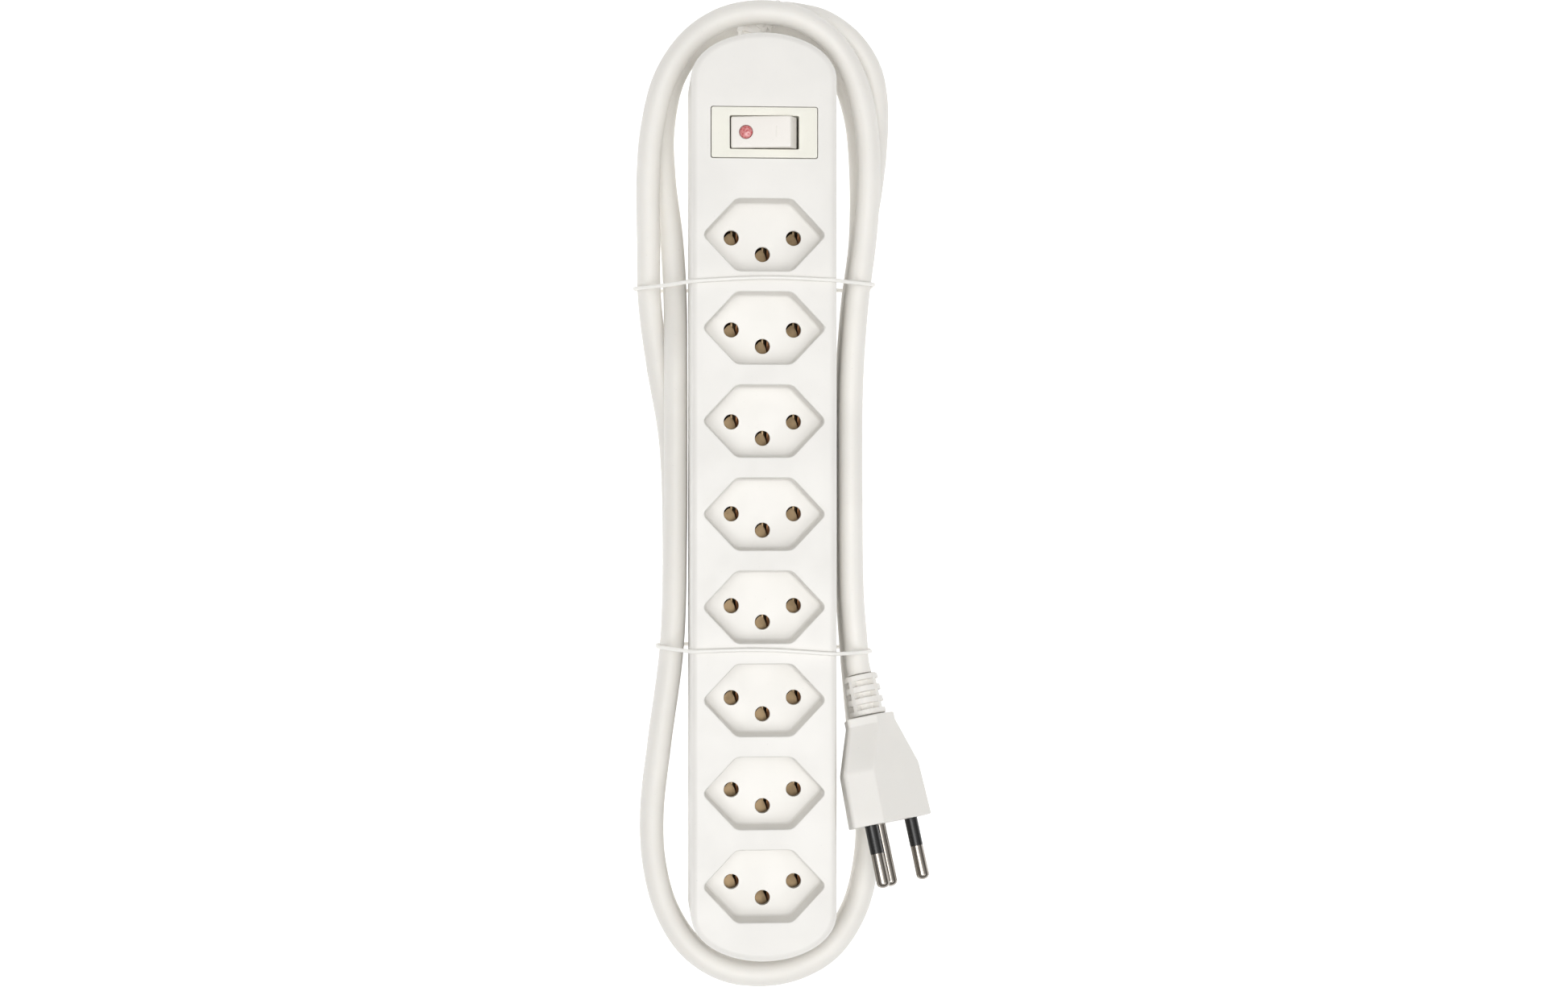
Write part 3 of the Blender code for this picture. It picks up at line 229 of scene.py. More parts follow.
def plug_frame():
    """The plug's own axes: X across the pins, Z out of its face."""
    heading, pitch, roll = math.radians(11.2), math.radians(10.0), math.radians(45.0)
    level = Vector((math.sin(heading), -math.cos(heading), 0.0))
    out = level * math.cos(pitch) + Vector((0.0, 0.0, math.sin(pitch)))
    right = Vector((0.0, 0.0, 1.0)).cross(out).normalized()
    across = right * math.cos(roll) - out.cross(right) * math.sin(roll)
    axes = Matrix((across, out.cross(across), out)).transposed()
    return Matrix.Translation(PLUG_FACE) @ axes.to_4x4()


def smooth_line(points, steps=8):
    """Points on a centripetal Catmull-Rom curve through the given points."""
    points = [Vector(p) for p in points]
    points = [2 * points[0] - points[1], *points, 2 * points[-1] - points[-2]]
    line = [points[1]]
    for a, b, c, d in zip(points, points[1:], points[2:], points[3:]):
        t0 = 0.0
        t1 = t0 + math.sqrt((b - a).length)
        t2 = t1 + math.sqrt((c - b).length)
        t3 = t2 + math.sqrt((d - c).length)
        for k in range(1, steps + 1):
            t = t1 + (t2 - t1) * k / steps
            ab = a.lerp(b, (t - t0) / (t1 - t0))
            bc = b.lerp(c, (t - t1) / (t2 - t1))
            cd = c.lerp(d, (t - t2) / (t3 - t2))
            abc = ab.lerp(bc, (t - t0) / (t2 - t0))
            bcd = bc.lerp(cd, (t - t1) / (t3 - t1))
            line.append(abc.lerp(bcd, (t - t1) / (t2 - t1)))
    return line


def tube(name, points, radius, look, body, replaced, closed=False, resolution=6):
    """A round bar along points, as a curve with a bevel."""
    curve = bpy.data.curves.new(name, "CURVE")
    curve.dimensions = "3D"
    curve.bevel_depth = radius
    curve.bevel_resolution = resolution
    curve.use_fill_caps = not closed
    spline = curve.splines.new("POLY")
    spline.points.add(len(points) - 1)
    for spot, place in zip(spline.points, points):
        spot.co = (*place, 1.0)
    spline.use_cyclic_u = closed
    spline.use_smooth = True
    curve.materials.append(look.material)
    piece = bpy.data.objects.new(name, curve)
    bpy.context.scene.collection.objects.link(piece)
    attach(piece, body)
    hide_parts(*replaced)
    return piece


def plastic(name, colour, roughness, grain=2600.0, grain_depth=0.000012, waves=0.00002, **constants):
    """Moulded plastic: a spark-eroded grain, faint sink waves, dust specks and a slow drift in tone."""
    look = Look(name, **constants)
    cloud = look.noise(34.0, 4.0)
    speck = look.noise(1500.0, 1.0).from_to(0.74, 0.80)
    deeper = tuple(c * 0.955 for c in colour)
    dusty = tuple(c * 0.80 for c in colour)
    tone = look.blend(cloud.from_to(0.35, 0.65), deeper, colour)
    look.surface(Base_Color=look.blend(speck * 0.5, tone, dusty))
    rubbed = look.noise(120.0, 5.0).from_to(0.35, 0.70)
    look.surface(Roughness=rubbed * 0.10 + (roughness - 0.05))
    wavy = look.relief(look.noise(60.0, 2.0), waves)
    look.surface(Normal=look.relief(look.noise(grain, 3.0), grain_depth, wavy))
    return look


def dress(look, *nodes):
    """Gives CAD nodes that stay as they are a finished material."""
    for node in nodes:
        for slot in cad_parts[node].material_slots:
            slot.material = look.material


to_plug = plug_frame()
plug_end = to_plug @ Vector((0, 0, -PLUG_BODY_LENGTH - PLUG_RELIEF_LENGTH - 2 * GAP))
route = [(x, y, SECOND) for x, y in EXIT_BEND + RIGHT_SIDE]
route += [(x, y, LYING + STACK + lift) for x, y, lift in FAR_BEND]
route += FIRST_LEFT_SIDE
route += [(x, y, LYING) for x, y in LOW_ARCH]
route += [(x, y, ON_TIE) for x, y in RIGHT_SIDE]
route += [(x, y, LYING + lift) for x, y, lift in FAR_BEND]
route += SECOND_LEFT_SIDE + HIGH_ARCH
route += [(x, y, THIRD) for x, y in RIGHT_SIDE]
route += TO_PLUG
route += [plug_end - to_plug.to_3x3().col[2] * 0.004, plug_end]
line = smooth_line(route)

sheath = plastic("lead_sheath", (0.860, 0.840, 0.798), 0.50, 1800.0, 0.00002, 0.00010, Subsurface_Weight=0.06,
                 Subsurface_Radius=(0.002, 0.0016, 0.0012), Subsurface_Scale=1.0)
lead = tube("lead", line, CORD_RADIUS, sheath, "housing", ["power_cord"])
dress(sheath, "cord_tail")

# ---------------------------------------------------------------------------------------------------
# Moulded grips on the lead: the elbow boot at the end wall and the ladder-like relief behind the plug,
# both soft PVC with windows between their ribs, so that they bend evenly.

soft = plastic("soft_pvc", (0.865, 0.845, 0.805), 0.46, 1600.0, 0.00002, 0.00005, Subsurface_Weight=0.05,
               Subsurface_Radius=(0.002, 0.0016, 0.0012), Subsurface_Scale=1.0)


def finished(bm, name, look, body, replaced=(), angle=32.0, closed=True):
    """The piece from its bmesh: smooth, sharp where it turns hard, and riding on its CAD body."""
    bmesh.ops.remove_doubles(bm, verts=bm.verts, dist=1e-7)
    if closed:
        bmesh.ops.holes_fill(bm, edges=bm.edges)
    bmesh.ops.recalc_face_normals(bm, faces=bm.faces)
    mesh = bpy.data.meshes.new(name)
    bm.to_mesh(mesh)
    bm.free()
    mesh.shade_smooth()
    mesh.set_sharp_from_angle(angle=math.radians(angle))
    mesh.materials.append(look.material)
    piece = bpy.data.objects.new(name, mesh)
    bpy.context.scene.collection.objects.link(piece)
    even = piece.modifiers.new("even shading", "WEIGHTED_NORMAL")
    even.keep_sharp = True
    even.weight = 80
    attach(piece, body)
    if replaced:
        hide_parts(*replaced)
    return piece


def banded(bm, rings):
    """Walls between neighbouring rings; gives back the first and the last."""
    for low, high in zip(rings, rings[1:]):
        for i in range(len(low)):
            bm.faces.new((low[i - 1], low[i], high[i], high[i - 1]))
    return rings[0], rings[-1]


def laddered(bm, rows, place, window=34.0, edge=4.0):
    """A round sleeve over rows of (along, radius, window depth), with four windows round it in each row
    that has a depth; place(along, x, y) puts a point on the piece."""
    angles = []
    for quarter in range(4):
        middle = 90.0 * quarter
        angles += [(middle + turn, 1.0) for turn in (-window, -window / 2, 0.0, window / 2, window)]
        angles += [(middle + turn, 0.0) for turn in (window + edge, 45.0, 90.0 - window - edge)]
    rings = []
    for along, radius, depth in rows:
        ring = []
        for degrees, in_window in angles:
            reach = radius - depth * in_window
            turn = math.radians(degrees)
            ring.append(bm.verts.new(place(along, reach * math.cos(turn), reach * math.sin(turn))))
        rings.append(ring)
    for end in banded(bm, rings):
        bm.faces.new(end)


def ribs(start, end, first_radius, last_radius, windows, depth, rib):
    """Rows for laddered(): ribs and windows in turn, with a rounded edge at each end."""
    def radius(along):
        return first_radius + (last_radius - first_radius) * (along - start) / (end - start)

    step = (end - start - rib) / windows
    rows = [(start, first_radius - 0.0005, 0.0), (start + 0.0002, first_radius - 0.00015, 0.0),
            (start + 0.0005, first_radius, 0.0)]
    for k in range(windows):
        low, high = start + k * step + rib, start + (k + 1) * step
        for along, sunk in ((low, 0.0), (low + 0.00015, 1.0), (high - 0.00015, 1.0), (high, 0.0)):
            rows.append((along, radius(along), depth * sunk))
    return rows + [(end - 0.0005, last_radius, 0.0), (end - 0.0002, last_radius - 0.00015, 0.0),
                   (end, last_radius - 0.0005, 0.0)]


BOOT_START, END_WALL, EXIT_X, BOOT_BEND = 0.1304, 0.1400, -0.0035, 0.0100
BEND_LENGTH = BOOT_BEND * math.pi / 2


def on_boot(along, x, y):
    """Straight through the end wall, then a quarter turn to the right."""
    if along < END_WALL - BOOT_START:
        return EXIT_X + x, BOOT_START + along, SECOND + y
    turn = Matrix.Rotation(-(along - (END_WALL - BOOT_START)) / BOOT_BEND, 3, "Z")
    return Vector((EXIT_X + BOOT_BEND, END_WALL, SECOND)) + turn @ Vector((x - BOOT_BEND, 0.0, y))


bm = bmesh.new()
through = END_WALL - BOOT_START
FLANGE_RADIUS, ROOT_RADIUS, TIP_RADIUS = 0.0056, 0.0045, 0.0041
rows = [(0.0, FLANGE_RADIUS - 0.0003, 0.0), (0.0003, FLANGE_RADIUS, 0.0), (0.0017, FLANGE_RADIUS, 0.0),
        (0.0020, FLANGE_RADIUS - 0.0003, 0.0), (0.0020, ROOT_RADIUS, 0.0), (through, ROOT_RADIUS, 0.0)]
rows += ribs(through + 0.0004, through + BEND_LENGTH, ROOT_RADIUS, TIP_RADIUS, 5, 0.0007, 0.0011)
laddered(bm, rows, on_boot)
boot = finished(bm, "boot", soft, "housing", ["cord_relief"])

bm = bmesh.new()
grip_end = -PLUG_BODY_LENGTH - GAP
rows = ribs(grip_end - PLUG_RELIEF_LENGTH, grip_end, 0.0053, 0.0056, 3, 0.0022, 0.0017)
across_eighth = Matrix.Rotation(math.pi / 4, 3, "Z")
laddered(bm, rows, lambda along, x, y: to_plug @ (across_eighth @ Vector((x, y, along))))
relief = finished(bm, "plug_grip", soft, "housing", ["plug_relief"])

# ---------------------------------------------------------------------------------------------------
# The plug: a soft PVC body with a hexagonal section that fits the recess, flared from a narrow collar,
# and three round plated pins. Live and neutral have black sleeves over the half next to the body.

RECESS_LENGTH, RECESS_WIDTH, RECESS_FLAT = 0.0372, 0.0217, 0.0168


def inset(corners, distance):
    """A convex anticlockwise polygon's corners, moved in from each side by a distance."""
    moved = []
    for i, corner in enumerate(corners):
        corner = Vector(corner)
        back = (Vector(corners[i - 1]) - corner).normalized()
        ahead = (Vector(corners[(i + 1) % len(corners)]) - corner).normalized()
        half = back.angle(ahead) / 2
        moved.append(corner + (back + ahead).normalized() * distance / math.sin(half))
    return moved


def rounded(corners, radius, steps=5):
    """An anticlockwise polygon's outline, each corner an arc of one radius or of its own."""
    outline = []
    for i, corner in enumerate(corners):
        arc = radius[i] if hasattr(radius, "__len__") else radius
        corner = Vector(corner)
        back = (Vector(corners[i - 1]) - corner).normalized()
        ahead = (Vector(corners[(i + 1) % len(corners)]) - corner).normalized()
        half = back.angle(ahead) / 2
        centre = corner + (back + ahead).normalized() * arc / math.sin(half)
        start = corner + back * arc / math.tan(half) - centre
        for k in range(steps + 1):
            arm = start.copy()
            arm.rotate(Matrix.Rotation((math.pi - 2 * half) * k / steps, 2))
            outline.append(centre + arm)
    return outline


def hexagon(length, width, back=None):
    """A hexagon with two tips on X and flats along X, sloped as the strip's recess is. The flat on +Y
    lies at back where that is given."""
    slope = (RECESS_LENGTH - RECESS_FLAT) / RECESS_WIDTH
    tip, low, high = length / 2, width / 2, width / 2 if back is None else back
    top, bottom = tip - high * slope, tip - low * slope
    return [(tip, 0), (top, high), (-top, high), (-tip, 0), (-bottom, -low), (bottom, -low)]


def rectangle(length, width):
    x, y = length / 2, width / 2
    return [(x, y), (-x, y), (-x, -y), (x, -y)]


def circle(radius, sides=32):
    turns = [math.tau * k / sides for k in range(sides)]
    return [Vector((radius * math.cos(a), radius * math.sin(a))) for a in turns]


def ring(bm, outline, height, at=(0.0, 0.0)):
    return [bm.verts.new((p[0] + at[0], p[1] + at[1], height)) for p in outline]


def plane_between(bm, *rings):
    """A flat face inside the first ring, with the others as its holes."""
    edges = []
    for verts in rings:
        for i in range(len(verts)):
            edges.append(bm.edges.get((verts[i - 1], verts[i])) or bm.edges.new((verts[i - 1], verts[i])))
    bmesh.ops.triangle_fill(bm, edges=edges, use_beauty=True)


def fillet(radius, steps=4):
    """(in, down) from a sharp edge, from the top face round to the side wall."""
    turns = [math.pi / 2 * k / steps for k in range(steps + 1)]
    return [(radius * (1 - math.sin(a)), radius * (1 - math.cos(a))) for a in turns]


def turned(bm, profile, sides=32, at=(0.0, 0.0)):
    """A solid of revolution about Z from (radius, height) pairs; finished() closes its ends."""
    points = [bm.verts.new((at[0] + radius, at[1], z)) for radius, z in profile]
    edges = [bm.edges.new(pair) for pair in zip(points, points[1:])]
    bmesh.ops.spin(bm, geom=points + edges, cent=(*at, 0.0), axis=(0.0, 0.0, 1.0), angle=math.tau,
                   steps=sides, use_merge=True)


def metal(name, colour, roughness, drawn=(1.0, 1.0, 1.0), dull=0.75, **constants):
    """Bare or plated metal: fine lines along the way it was drawn, and dull patches."""
    look = Look(name, Metallic=1.0, **constants)
    lines = look.noise(3500.0, 4.0, look.stretched(*drawn))
    patch = look.noise(260.0, 5.0).from_to(0.40, 0.68)
    look.surface(Base_Color=look.blend(patch, colour, tuple(c * dull for c in colour)))
    look.surface(Roughness=lines * 0.14 + patch * 0.10 + (roughness - 0.10))
    look.surface(Normal=look.relief(lines, 0.000006))
    return look


PIN_SPACING, EARTH_OFFSET = 0.0190, 0.0050
PINS = {"live": (PIN_SPACING / 2, 0.0), "neutral": (-PIN_SPACING / 2, 0.0), "earth": (0.0, -EARTH_OFFSET)}
face, grip = hexagon(0.0357, 0.0202, 0.0070), hexagon(0.0343, 0.0194, 0.0069)
neck = hexagon(0.0208, 0.0136)
bm = bmesh.new()
stations = [(inset(neck, d), 0.0010, -PLUG_BODY_LENGTH + down) for d, down in fillet(0.0005)]
stations += [(neck, 0.0012, -PLUG_BODY_LENGTH + 0.0024)]
for share in (0.03, 0.10, 0.90, 0.97):
    between = [Vector(a).lerp(Vector(b), share) for a, b in zip(neck, grip)]
    stations.append((between, 0.0014, -0.0302 + share * 0.0140))
stations += [(grip, 0.0014, -0.0156), (face, 0.0012, -0.0004), (inset(face, 0.0001), 0.0012, -0.0001),
             (inset(face, 0.0004), 0.0010, 0.0)]
first, last = banded(bm, [ring(bm, rounded(corners, radius), z) for corners, radius, z in stations])
plane_between(bm, first)
holes = []
for place in PINS.values():
    mouth, _ = banded(bm, [ring(bm, circle(0.00225), 0.0, place), ring(bm, circle(0.00205), -0.0006, place)])
    holes.append(mouth)
plane_between(bm, last, *holes)
bmesh.ops.transform(bm, matrix=to_plug, verts=bm.verts)
plug = finished(bm, "plug", soft, "housing", ["plug_body"], angle=40.0)

nickel = metal("pin_nickel_plate", (0.36, 0.330, 0.295), 0.08, dull=0.92)
black = plastic("pin_sleeve", (0.012, 0.012, 0.012), 0.24, 2500.0, 0.000004)
PIN_RADIUS, PIN_STRAIGHT, PIN_DOME, SLEEVE_END = 0.0020, 0.0174, 0.0016, 0.0086
for pole, place in PINS.items():
    bm = bmesh.new()
    tip = [(PIN_RADIUS * math.cos(a), PIN_STRAIGHT + PIN_DOME * math.sin(a))
           for a in (0.0, 0.3, 0.6, 0.9, 1.2, 1.45)]
    root = [(PIN_RADIUS, -0.0005)] if pole == "earth" else [(PIN_RADIUS - 0.00008, SLEEVE_END)]
    turned(bm, root + tip, 40, place)
    bmesh.ops.transform(bm, matrix=to_plug, verts=bm.verts)
    pin = finished(bm, f"pin_{pole}", nickel, "housing", [f"plug_pin_{pole}"], 50.0)
    if pole == "earth":
        continue
    bm = bmesh.new()
    turned(bm, [(0.00199, -0.0005), (0.00197, SLEEVE_END - 0.0002), (0.0019, SLEEVE_END)], 40, place)
    bmesh.ops.transform(bm, matrix=to_plug, verts=bm.verts)
    sleeve = finished(bm, f"sleeve_{pole}", black, "housing", [f"pin_sleeve_{pole}"], 50.0)

# ---------------------------------------------------------------------------------------------------
# The housing: a satin white moulded cover with eight hexagonal recesses, and a shallow base under it.
# Every moulded edge is rounded, the recess walls have draft, and a coved corner meets the recess floor.

WIDTH, LENGTH, HEIGHT, END_DEPTH, EDGE = 0.0440, 0.2800, 0.0360, 0.0140, 0.0022
SPLIT, FOOT, WALL = 0.0090, 0.0020, 0.0022
SWITCH_Y = 0.1096
FIRST_SOCKET_Y, SOCKET_PITCH = 0.0789, 0.0280
SOCKETS_Y = [FIRST_SOCKET_Y - SOCKET_PITCH * i for i in range(8)]
RECESS = hexagon(RECESS_LENGTH, RECESS_WIDTH)
RECESS_CORNERS = [0.0017, 0.0032, 0.0032, 0.0017, 0.0032, 0.0032]
RECESS_DEPTH = 0.0100
RIM, DRAFT, COVE = 0.00045, 0.00020, 0.0008
HOLES = [(-x, y) for x, y in PINS.values()]
SCREWS = [(side * 0.0170, y) for y in (0.0929, -0.0191, -0.1031) for side in (-1, 1)]


def arched(distance=0.0, steps=40):
    """The strip's plan outline: straight sides and half-ellipse ends."""
    wide, deep = WIDTH / 2 - distance, END_DEPTH - distance
    straight = LENGTH / 2 - END_DEPTH
    end = []
    for k in range(steps + 1):
        turn = math.pi * k / steps
        end.append(Vector((wide * math.cos(turn), straight + deep * math.sin(turn))))
    return end + [-p for p in end]


white = plastic("cover_moulding", (0.865, 0.848, 0.812), 0.40, 3000.0, 0.000010, 0.00003, Coat_Weight=0.0)
bm = bmesh.new()
low = SPLIT + GAP / 2
shell = [ring(bm, arched(WALL), low + 0.0040), ring(bm, arched(WALL), low), ring(bm, arched(0.0003), low),
         ring(bm, arched(), low + 0.0003)]
shell += [ring(bm, arched(d), HEIGHT - down) for d, down in reversed(fillet(EDGE, 7))]
_, rim = banded(bm, shell)
mouths = []
section = [(-out, down) for out, down in fillet(RIM)]
section += [(DRAFT + side, RECESS_DEPTH - rise) for rise, side in fillet(COVE, 5)]
well = [(0.00248, 0.0), (0.00234, 0.00006), (0.0023, 0.0002), (0.0023, 0.0020)]
for y in SOCKETS_Y:
    walls = []
    for d, down in section:
        outline = rounded(inset(RECESS, d), [corner - d for corner in RECESS_CORNERS])
        walls.append(ring(bm, outline, HEIGHT - down, (0, y)))
    mouth, floor_edge = banded(bm, walls)
    mouths.append(mouth)
    wells = []
    for x, offset in HOLES:
        at = (x, y + offset)
        mouth, _ = banded(bm, [ring(bm, circle(r), HEIGHT - RECESS_DEPTH - down, at) for r, down in well])
        wells.append(mouth)
    plane_between(bm, floor_edge, *wells)
pocket = rectangle(0.0323, 0.0156)
pocket_walls = [ring(bm, rounded(inset(pocket, d), 0.0007 - d), HEIGHT - down, (0, SWITCH_Y))
                for d, down in ((-0.00006, 0.0), (-0.00002, 0.00003), (0.0, 0.0001), (0.0, 0.0026))]
banded(bm, pocket_walls)
plane_between(bm, rim, *mouths, pocket_walls[0])
finished(bm, "cover", white, "housing", ["top_cover"], closed=False)

# The base is duller than the cover, and carries the foot rails and the deep holes over its screws.

base_look = plastic("base_moulding", (0.845, 0.825, 0.785), 0.50, 1400.0, 0.00003, 0.00003)
bm = bmesh.new()
shell = [ring(bm, arched(WALL), SPLIT - 0.0040), ring(bm, arched(WALL), SPLIT - GAP / 2),
         ring(bm, arched(0.0003), SPLIT - GAP / 2), ring(bm, arched(), SPLIT - GAP / 2 - 0.0003)]
shell += [ring(bm, arched(d), FOOT + down) for d, down in reversed(fillet(0.0011))]
_, rim = banded(bm, shell)
wells = []
for place in SCREWS:
    profile = [(0.0036, 0.0), (0.00345, 0.00008), (0.0034, 0.0003), (0.0034, 0.0040), (0.0016, 0.0040),
               (0.0016, 0.0066)]
    mouth, _ = banded(bm, [ring(bm, circle(r), FOOT + up, place) for r, up in profile])
    wells.append(mouth)
plane_between(bm, rim, *wells)
for x in (-0.0114, 0.0114):
    for y0, y1 in ((-0.1260, -0.0544), (-0.0384, 0.0569), (0.0729, 0.1260)):
        outline, at = rectangle(0.0028, y1 - y0), (x, (y0 + y1) / 2)
        foot = [ring(bm, rounded(inset(outline, d), 0.0010), down, at) for d, down in fillet(0.0004)]
        foot.append(ring(bm, rounded(outline, 0.0010), FOOT + 0.0002, at))
        sole, _ = banded(bm, foot)
        plane_between(bm, sole)
finished(bm, "base", base_look, "housing", ["base_cover"], closed=False)

# ---------------------------------------------------------------------------------------------------
# The switch: an ivory snap-in frame, flush in its pocket, and a white rocker with a red lens at the
# end that is pressed in. The rocker's end walls slope, and a short raised bar marks its on side.

PIVOT = Vector((0.0, SWITCH_Y, 0.0324))
TILT = math.radians(-9.5)
TOP = HEIGHT + GAP

ivory = plastic("switch_frame_moulding", (0.880, 0.865, 0.775), 0.34, 3000.0, 0.000008)
bm = bmesh.new()
bezel, well, window = rectangle(0.0319, 0.0152), rectangle(0.0256, 0.0132), rectangle(0.0208, 0.0100)
at = (0.0, SWITCH_Y)
outside = [ring(bm, rounded(well, 0.0006), 0.0159, at), ring(bm, rounded(well, 0.0006), TOP - 0.0014, at),
           ring(bm, rounded(bezel, 0.0006), TOP - 0.0014, at)]
for d, down in reversed(fillet(0.00018)):
    outside.append(ring(bm, rounded(inset(bezel, d), 0.0006), TOP - down, at))
bottom, rim = banded(bm, outside)
inside = [ring(bm, rounded(inset(window, -d), 0.0005 + d), TOP - down, at)
          for d, down in ((0.0003, 0.0), (0.0001, 0.00008), (0.0, 0.0003), (0.0, 0.0188))]
mouth, floor_edge = banded(bm, inside)
plane_between(bm, rim, mouth)
plane_between(bm, floor_edge)
plane_between(bm, bottom)
finished(bm, "switch_frame", ivory, "housing", ["switch_body"])

ROCKER_TOP, ROCKER_WIDTH = 0.0052, 0.0095
button = plastic("rocker_moulding", (0.905, 0.870, 0.820), 0.26, 3000.0, 0.000005, 0.00002, Coat_Weight=0.2)
to_rocker = Matrix.Translation(PIVOT) @ Matrix.Rotation(TILT, 4, "Y")
bm = bmesh.new()
levels = [(0.0085, -0.0030), (0.01005, 0.0009), (0.01005, 0.0012)]
sections = [(rectangle(2 * half, ROCKER_WIDTH), 0.0004, z) for half, z in levels]
top_outline = [(x - 0.0003, y) for x, y in rectangle(0.0182, ROCKER_WIDTH)]
sections += [(inset(top_outline, d), 0.0006, ROCKER_TOP - down) for d, down in reversed(fillet(0.0005))]
bottom, rim = banded(bm, [ring(bm, rounded(corners, radius), z) for corners, radius, z in sections])
plane_between(bm, bottom)
lens_at = (-0.0048, 0.0)
lens_seat = [(0.0022, 0.0), (0.00212, 0.00005), (0.0021, 0.0002), (0.0021, 0.0012)]
mouth, seat = banded(bm, [ring(bm, circle(r), ROCKER_TOP - down, lens_at) for r, down in lens_seat])
plane_between(bm, seat)
bar = rectangle(0.0004, 0.0032)
bar_at = (0.0044, 0.0)
bar_foot, bar_top = banded(bm, [ring(bm, rounded(inset(bar, d), 0.00015), ROCKER_TOP + up, bar_at)
                                for d, up in ((0.0, 0.0), (0.00005, 0.00012), (0.0001, 0.00015))])
plane_between(bm, rim, mouth, bar_foot)
plane_between(bm, bar_top)
for side in (-1, 1):
    ends = [ring(bm, circle(0.0012, 20), side * y) for y in (0.0046, 0.0059)]
    for verts in ends:
        for v in verts:
            v.co = (v.co.x, v.co.z, v.co.y)
    banded(bm, ends)
    plane_between(bm, ends[1])
bmesh.ops.transform(bm, matrix=to_rocker, verts=bm.verts)
finished(bm, "rocker_button", button, "rocker_unit", ["rocker"])

red = Look("lens_red_clear", Roughness=0.16, Transmission_Weight=0.25, IOR=1.49, Coat_Weight=0.6,
           Coat_Roughness=0.08)
cells = red.node("ShaderNodeTexVoronoi", "Distance", Vector=red.place, Scale=1500.0)
red.surface(Base_Color=red.blend(cells.from_to(0.15, 0.60), (0.70, 0.085, 0.095), (0.86, 0.30, 0.30)))
red.surface(Normal=red.relief(cells, 0.00012))
bm = bmesh.new()
dome = [(0.00195, 0.0036), (0.00195, 0.0051), (0.00188, 0.0053), (0.0016, 0.00545), (0.0010, 0.0056),
        (0.0003, 0.00565)]
turned(bm, dome, 40, lens_at)
bmesh.ops.transform(bm, matrix=to_rocker, verts=bm.verts)
finished(bm, "lens", red, "rocker_unit", ["pilot_lens"], 45.0)

glass = Look("lamp_glass_clear", Roughness=0.04, Transmission_Weight=0.9, IOR=1.5)
glass.surface(Base_Color=glass.blend(glass.noise(700.0), (0.85, 0.80, 0.74), (0.95, 0.90, 0.86)))
dress(glass, "neon_lamp")

# ---------------------------------------------------------------------------------------------------
# Contacts: stamped brass strips under the pin holes, dull with age. At each hole a broad tongue lies
# under the near side and a narrow one, in darker, redder brass as painted shade, stands against the far side.

brass = metal("contact_brass_strip", (0.80, 0.60, 0.33), 0.34, (1.0, 0.05, 1.0), 0.86)
aged = metal("contact_brass_aged", (0.30, 0.215, 0.125), 0.46, (1.0, 0.05, 1.0), 0.80)
# The narrow tongues' darker, redder brass is painted shade for the far side of each pin hole.
far_tongue_shaded_brass = metal("contact_brass_painted_shade", (0.40, 0.19, 0.09), 0.42, (1.0, 0.05, 1.0), 0.7)
BROAD = [(0.0016, -0.0028), (0.0015, -0.0014), (0.0011, 0.0000), (0.0004, 0.0011), (-0.0004, 0.0018),
         (-0.0012, 0.0013), (-0.0018, 0.0006), (-0.0024, 0.0000), (-0.0025, -0.0028)]
NARROW = [(0.0026, -0.0028), (0.0026, 0.0004), (0.0020, 0.0012), (0.0017, 0.0000), (0.0015, -0.0012),
          (0.0015, -0.0028)]
LEAF_FALL = -0.05


def leaf(bm, outline, at, height, slope, thickness=0.0004):
    """A stamped tongue: its outline in plan, sloped across and falling a little towards +Y."""
    levels = []
    for drop in (thickness, 0.00005, 0.0):
        verts = ring(bm, [Vector(p) * (0.97 if drop == 0.0 else 1.0) for p in outline], 0.0, at)
        for v in verts:
            v.co.z = height + slope * (v.co.x - at[0]) + LEAF_FALL * (v.co.y - at[1]) - drop
        levels.append(verts)
    under, top = banded(bm, levels)
    bm.faces.new(under)
    bm.faces.new(top)


def upright(bm, foot, head, high):
    """The web from the strip up to a tongue."""
    web = rounded(rectangle(0.0005, 0.0050), 0.0001)
    _, end = banded(bm, [ring(bm, web, 0.0070, foot), ring(bm, web, high, head)])
    plane_between(bm, end)


for pole, (x, offset) in zip(("live", "neutral", "earth"), HOLES):
    low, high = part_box(f"{pole}_busbar")
    bm = bmesh.new()
    strip = rectangle(high.x - low.x, high.y - low.y)
    middle = ((low.x + high.x) / 2, (low.y + high.y) / 2)
    levels = [(0.0001, 0.0063), (0.0, 0.0064), (0.0, 0.0070), (0.0001, 0.0071)]
    under, top = banded(bm, [ring(bm, rounded(inset(strip, d), 0.0005), z, middle) for d, z in levels])
    plane_between(bm, under)
    plane_between(bm, top)
    for y in SOCKETS_Y:
        leaf(bm, BROAD, (x, y + offset), 0.0225, -0.16)
        upright(bm, (x - 0.0023, y + offset), (x + 0.0002, y + offset), 0.0220)
    finished(bm, f"{pole}_contacts", aged, "housing", [f"{pole}_busbar"])
    bm = bmesh.new()
    for y in SOCKETS_Y:
        leaf(bm, NARROW, (x, y + offset), 0.0200, 0.5)
        upright(bm, (x + 0.0023, y + offset), (x + 0.0019, y + offset), 0.0205)
    finished(bm, f"{pole}_contact_backs", far_tongue_shaded_brass, "housing")

dress(brass, "contact_lever_live", "contact_lever_neutral", "plunger_live", "plunger_neutral",
      "terminal_live_in", "terminal_live_out", "terminal_neutral_in", "terminal_neutral_out")

# ---------------------------------------------------------------------------------------------------
# Hidden hardware: zinc-plated screws and springs, the grey insulating parts, and the lead's three
# cores, brown, blue and green with a yellow stripe.

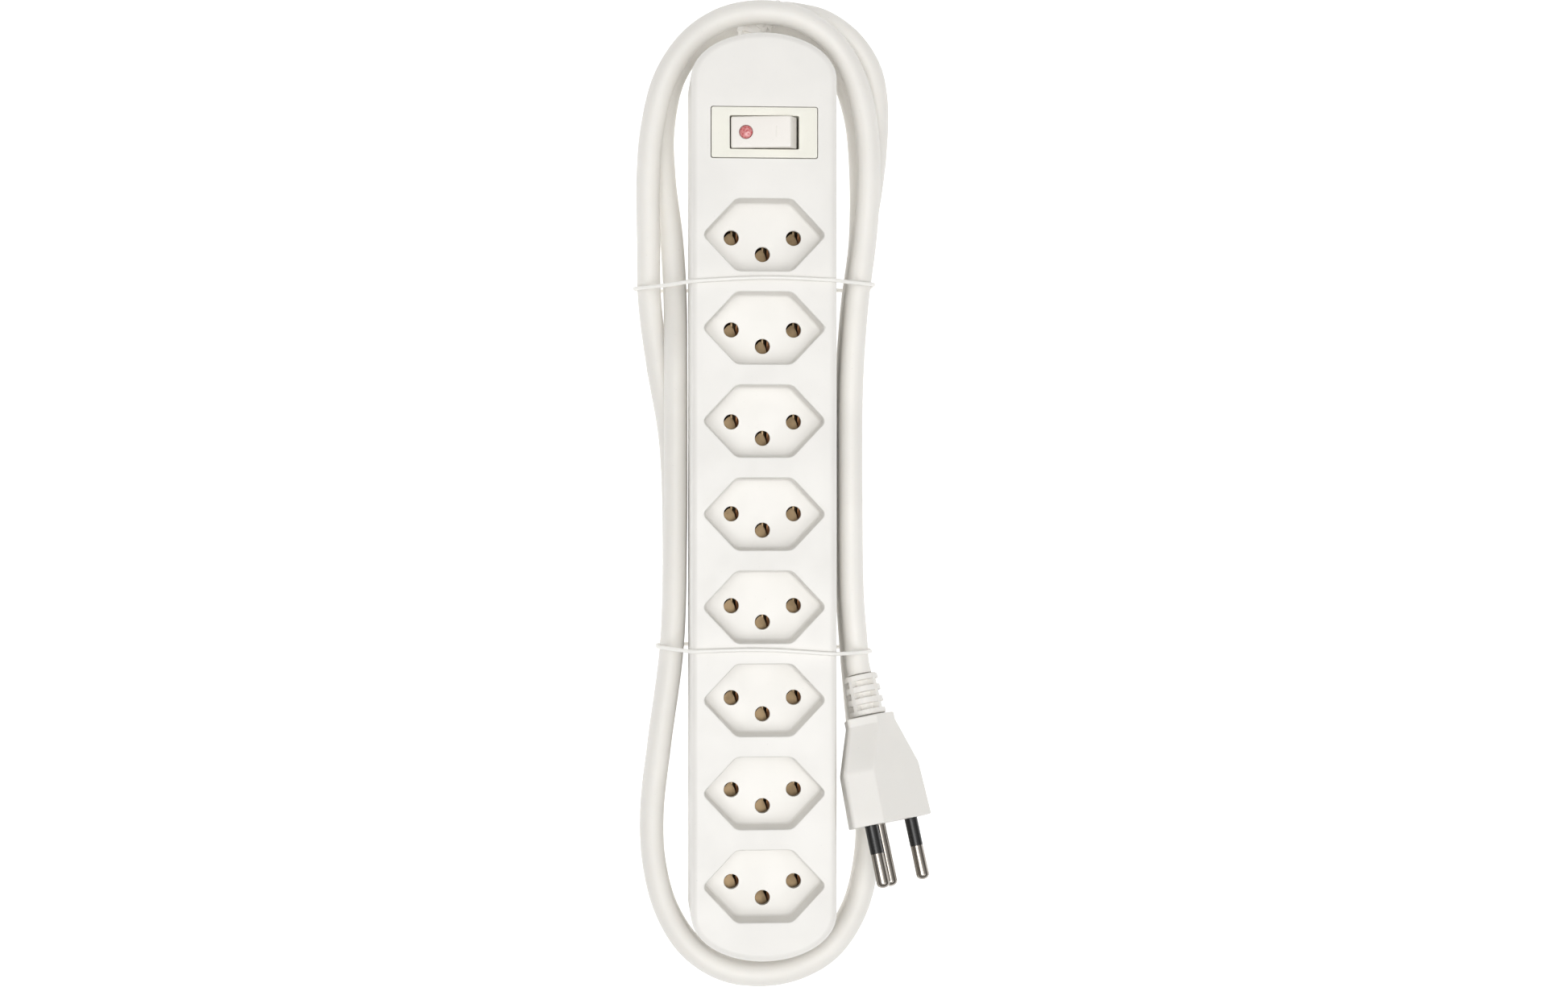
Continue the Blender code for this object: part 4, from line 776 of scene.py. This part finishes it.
zinc = metal("zinc_plate", (0.66, 0.66, 0.63), 0.32, dull=0.8)
dress(zinc, "clamp_screw_1", "clamp_screw_2", "plunger_spring_live", "plunger_spring_neutral",
      *(f"housing_screw_{number}" for number in range(1, 7)))
grey = plastic("insulator_moulding", (0.42, 0.42, 0.41), 0.55, 1500.0, 0.00003)
dress(grey, "contact_carrier", "cord_clamp")
brown = plastic("core_brown_pvc", (0.20, 0.085, 0.040), 0.42, 2000.0, 0.00001)
dress(brown, "wire_live_in", "wire_live_out")
blue = plastic("core_blue_pvc", (0.055, 0.130, 0.460), 0.42, 2000.0, 0.00001)
dress(blue, "wire_neutral_in", "wire_neutral_out")
earth = plastic("core_earth_pvc", (0.10, 0.36, 0.09), 0.42, 2000.0, 0.00001)
stripe = (earth.axis("X") * 700.0 + earth.axis("Z") * 1500.0).maths("SINE").from_to(-0.1, 0.1)
earth.surface(Base_Color=earth.blend(stripe, (0.10, 0.36, 0.09), (0.82, 0.72, 0.06)))
dress(earth, "wire_earth")

# ---------------------------------------------------------------------------------------------------
# Two elastic bands hold the winding. Each is a covered rubber cord pulled taut round the housing and
# the strands, so it runs straight from edge to edge and curves where it turns.

TIE_RADIUS = 0.0006
elastic = plastic("elastic_band", (0.95, 0.935, 0.895), 0.42, 2400.0, 0.00004)


def convex_path(points):
    """The convex outline of points in a plane, anticlockwise."""
    points = sorted(set(points))

    def half(ordered):
        chain = []
        for p in ordered:
            while len(chain) > 1:
                a, b = chain[-2], chain[-1]
                if (b[0] - a[0]) * (p[1] - a[1]) > (b[1] - a[1]) * (p[0] - a[0]):
                    break
                chain.pop()
            chain.append(p)
        return chain[:-1]

    return half(points) + half(reversed(points))


for name, y, lean in (("tie_upper", 0.0654, 0.0003), ("tie_lower", -0.0464, -0.0006)):
    rounds = [(side * (WIDTH / 2 - EDGE), HEIGHT - EDGE, EDGE) for side in (-1, 1)]
    for a, b in zip(line, line[1:]):
        if (a.y - y) * (b.y - y) < 0:
            spot = a.lerp(b, (y - a.y) / (b.y - a.y))
            rounds.append((spot.x, spot.z, CORD_RADIUS))
    outline = []
    for x, z, radius in rounds:
        reach = radius + TIE_RADIUS + GAP * 0.6
        outline += [(round(x + p.x, 7), round(z + p.y, 7)) for p in circle(reach, 48)]
    loop = []
    corners = convex_path(outline)
    for a, b in zip(corners, corners[1:] + corners[:1]):
        steps = max(1, round(math.dist(a, b) / 0.003))
        for k in range(steps):
            x, z = a[0] + (b[0] - a[0]) * k / steps, a[1] + (b[1] - a[1]) * k / steps
            loop.append((x, y + lean * math.sin(x * 42.0) + 0.0005 * math.cos(x * 110.0), z))
    tube(f"{name}_band", loop, TIE_RADIUS, elastic, "housing", [name], True, 4)
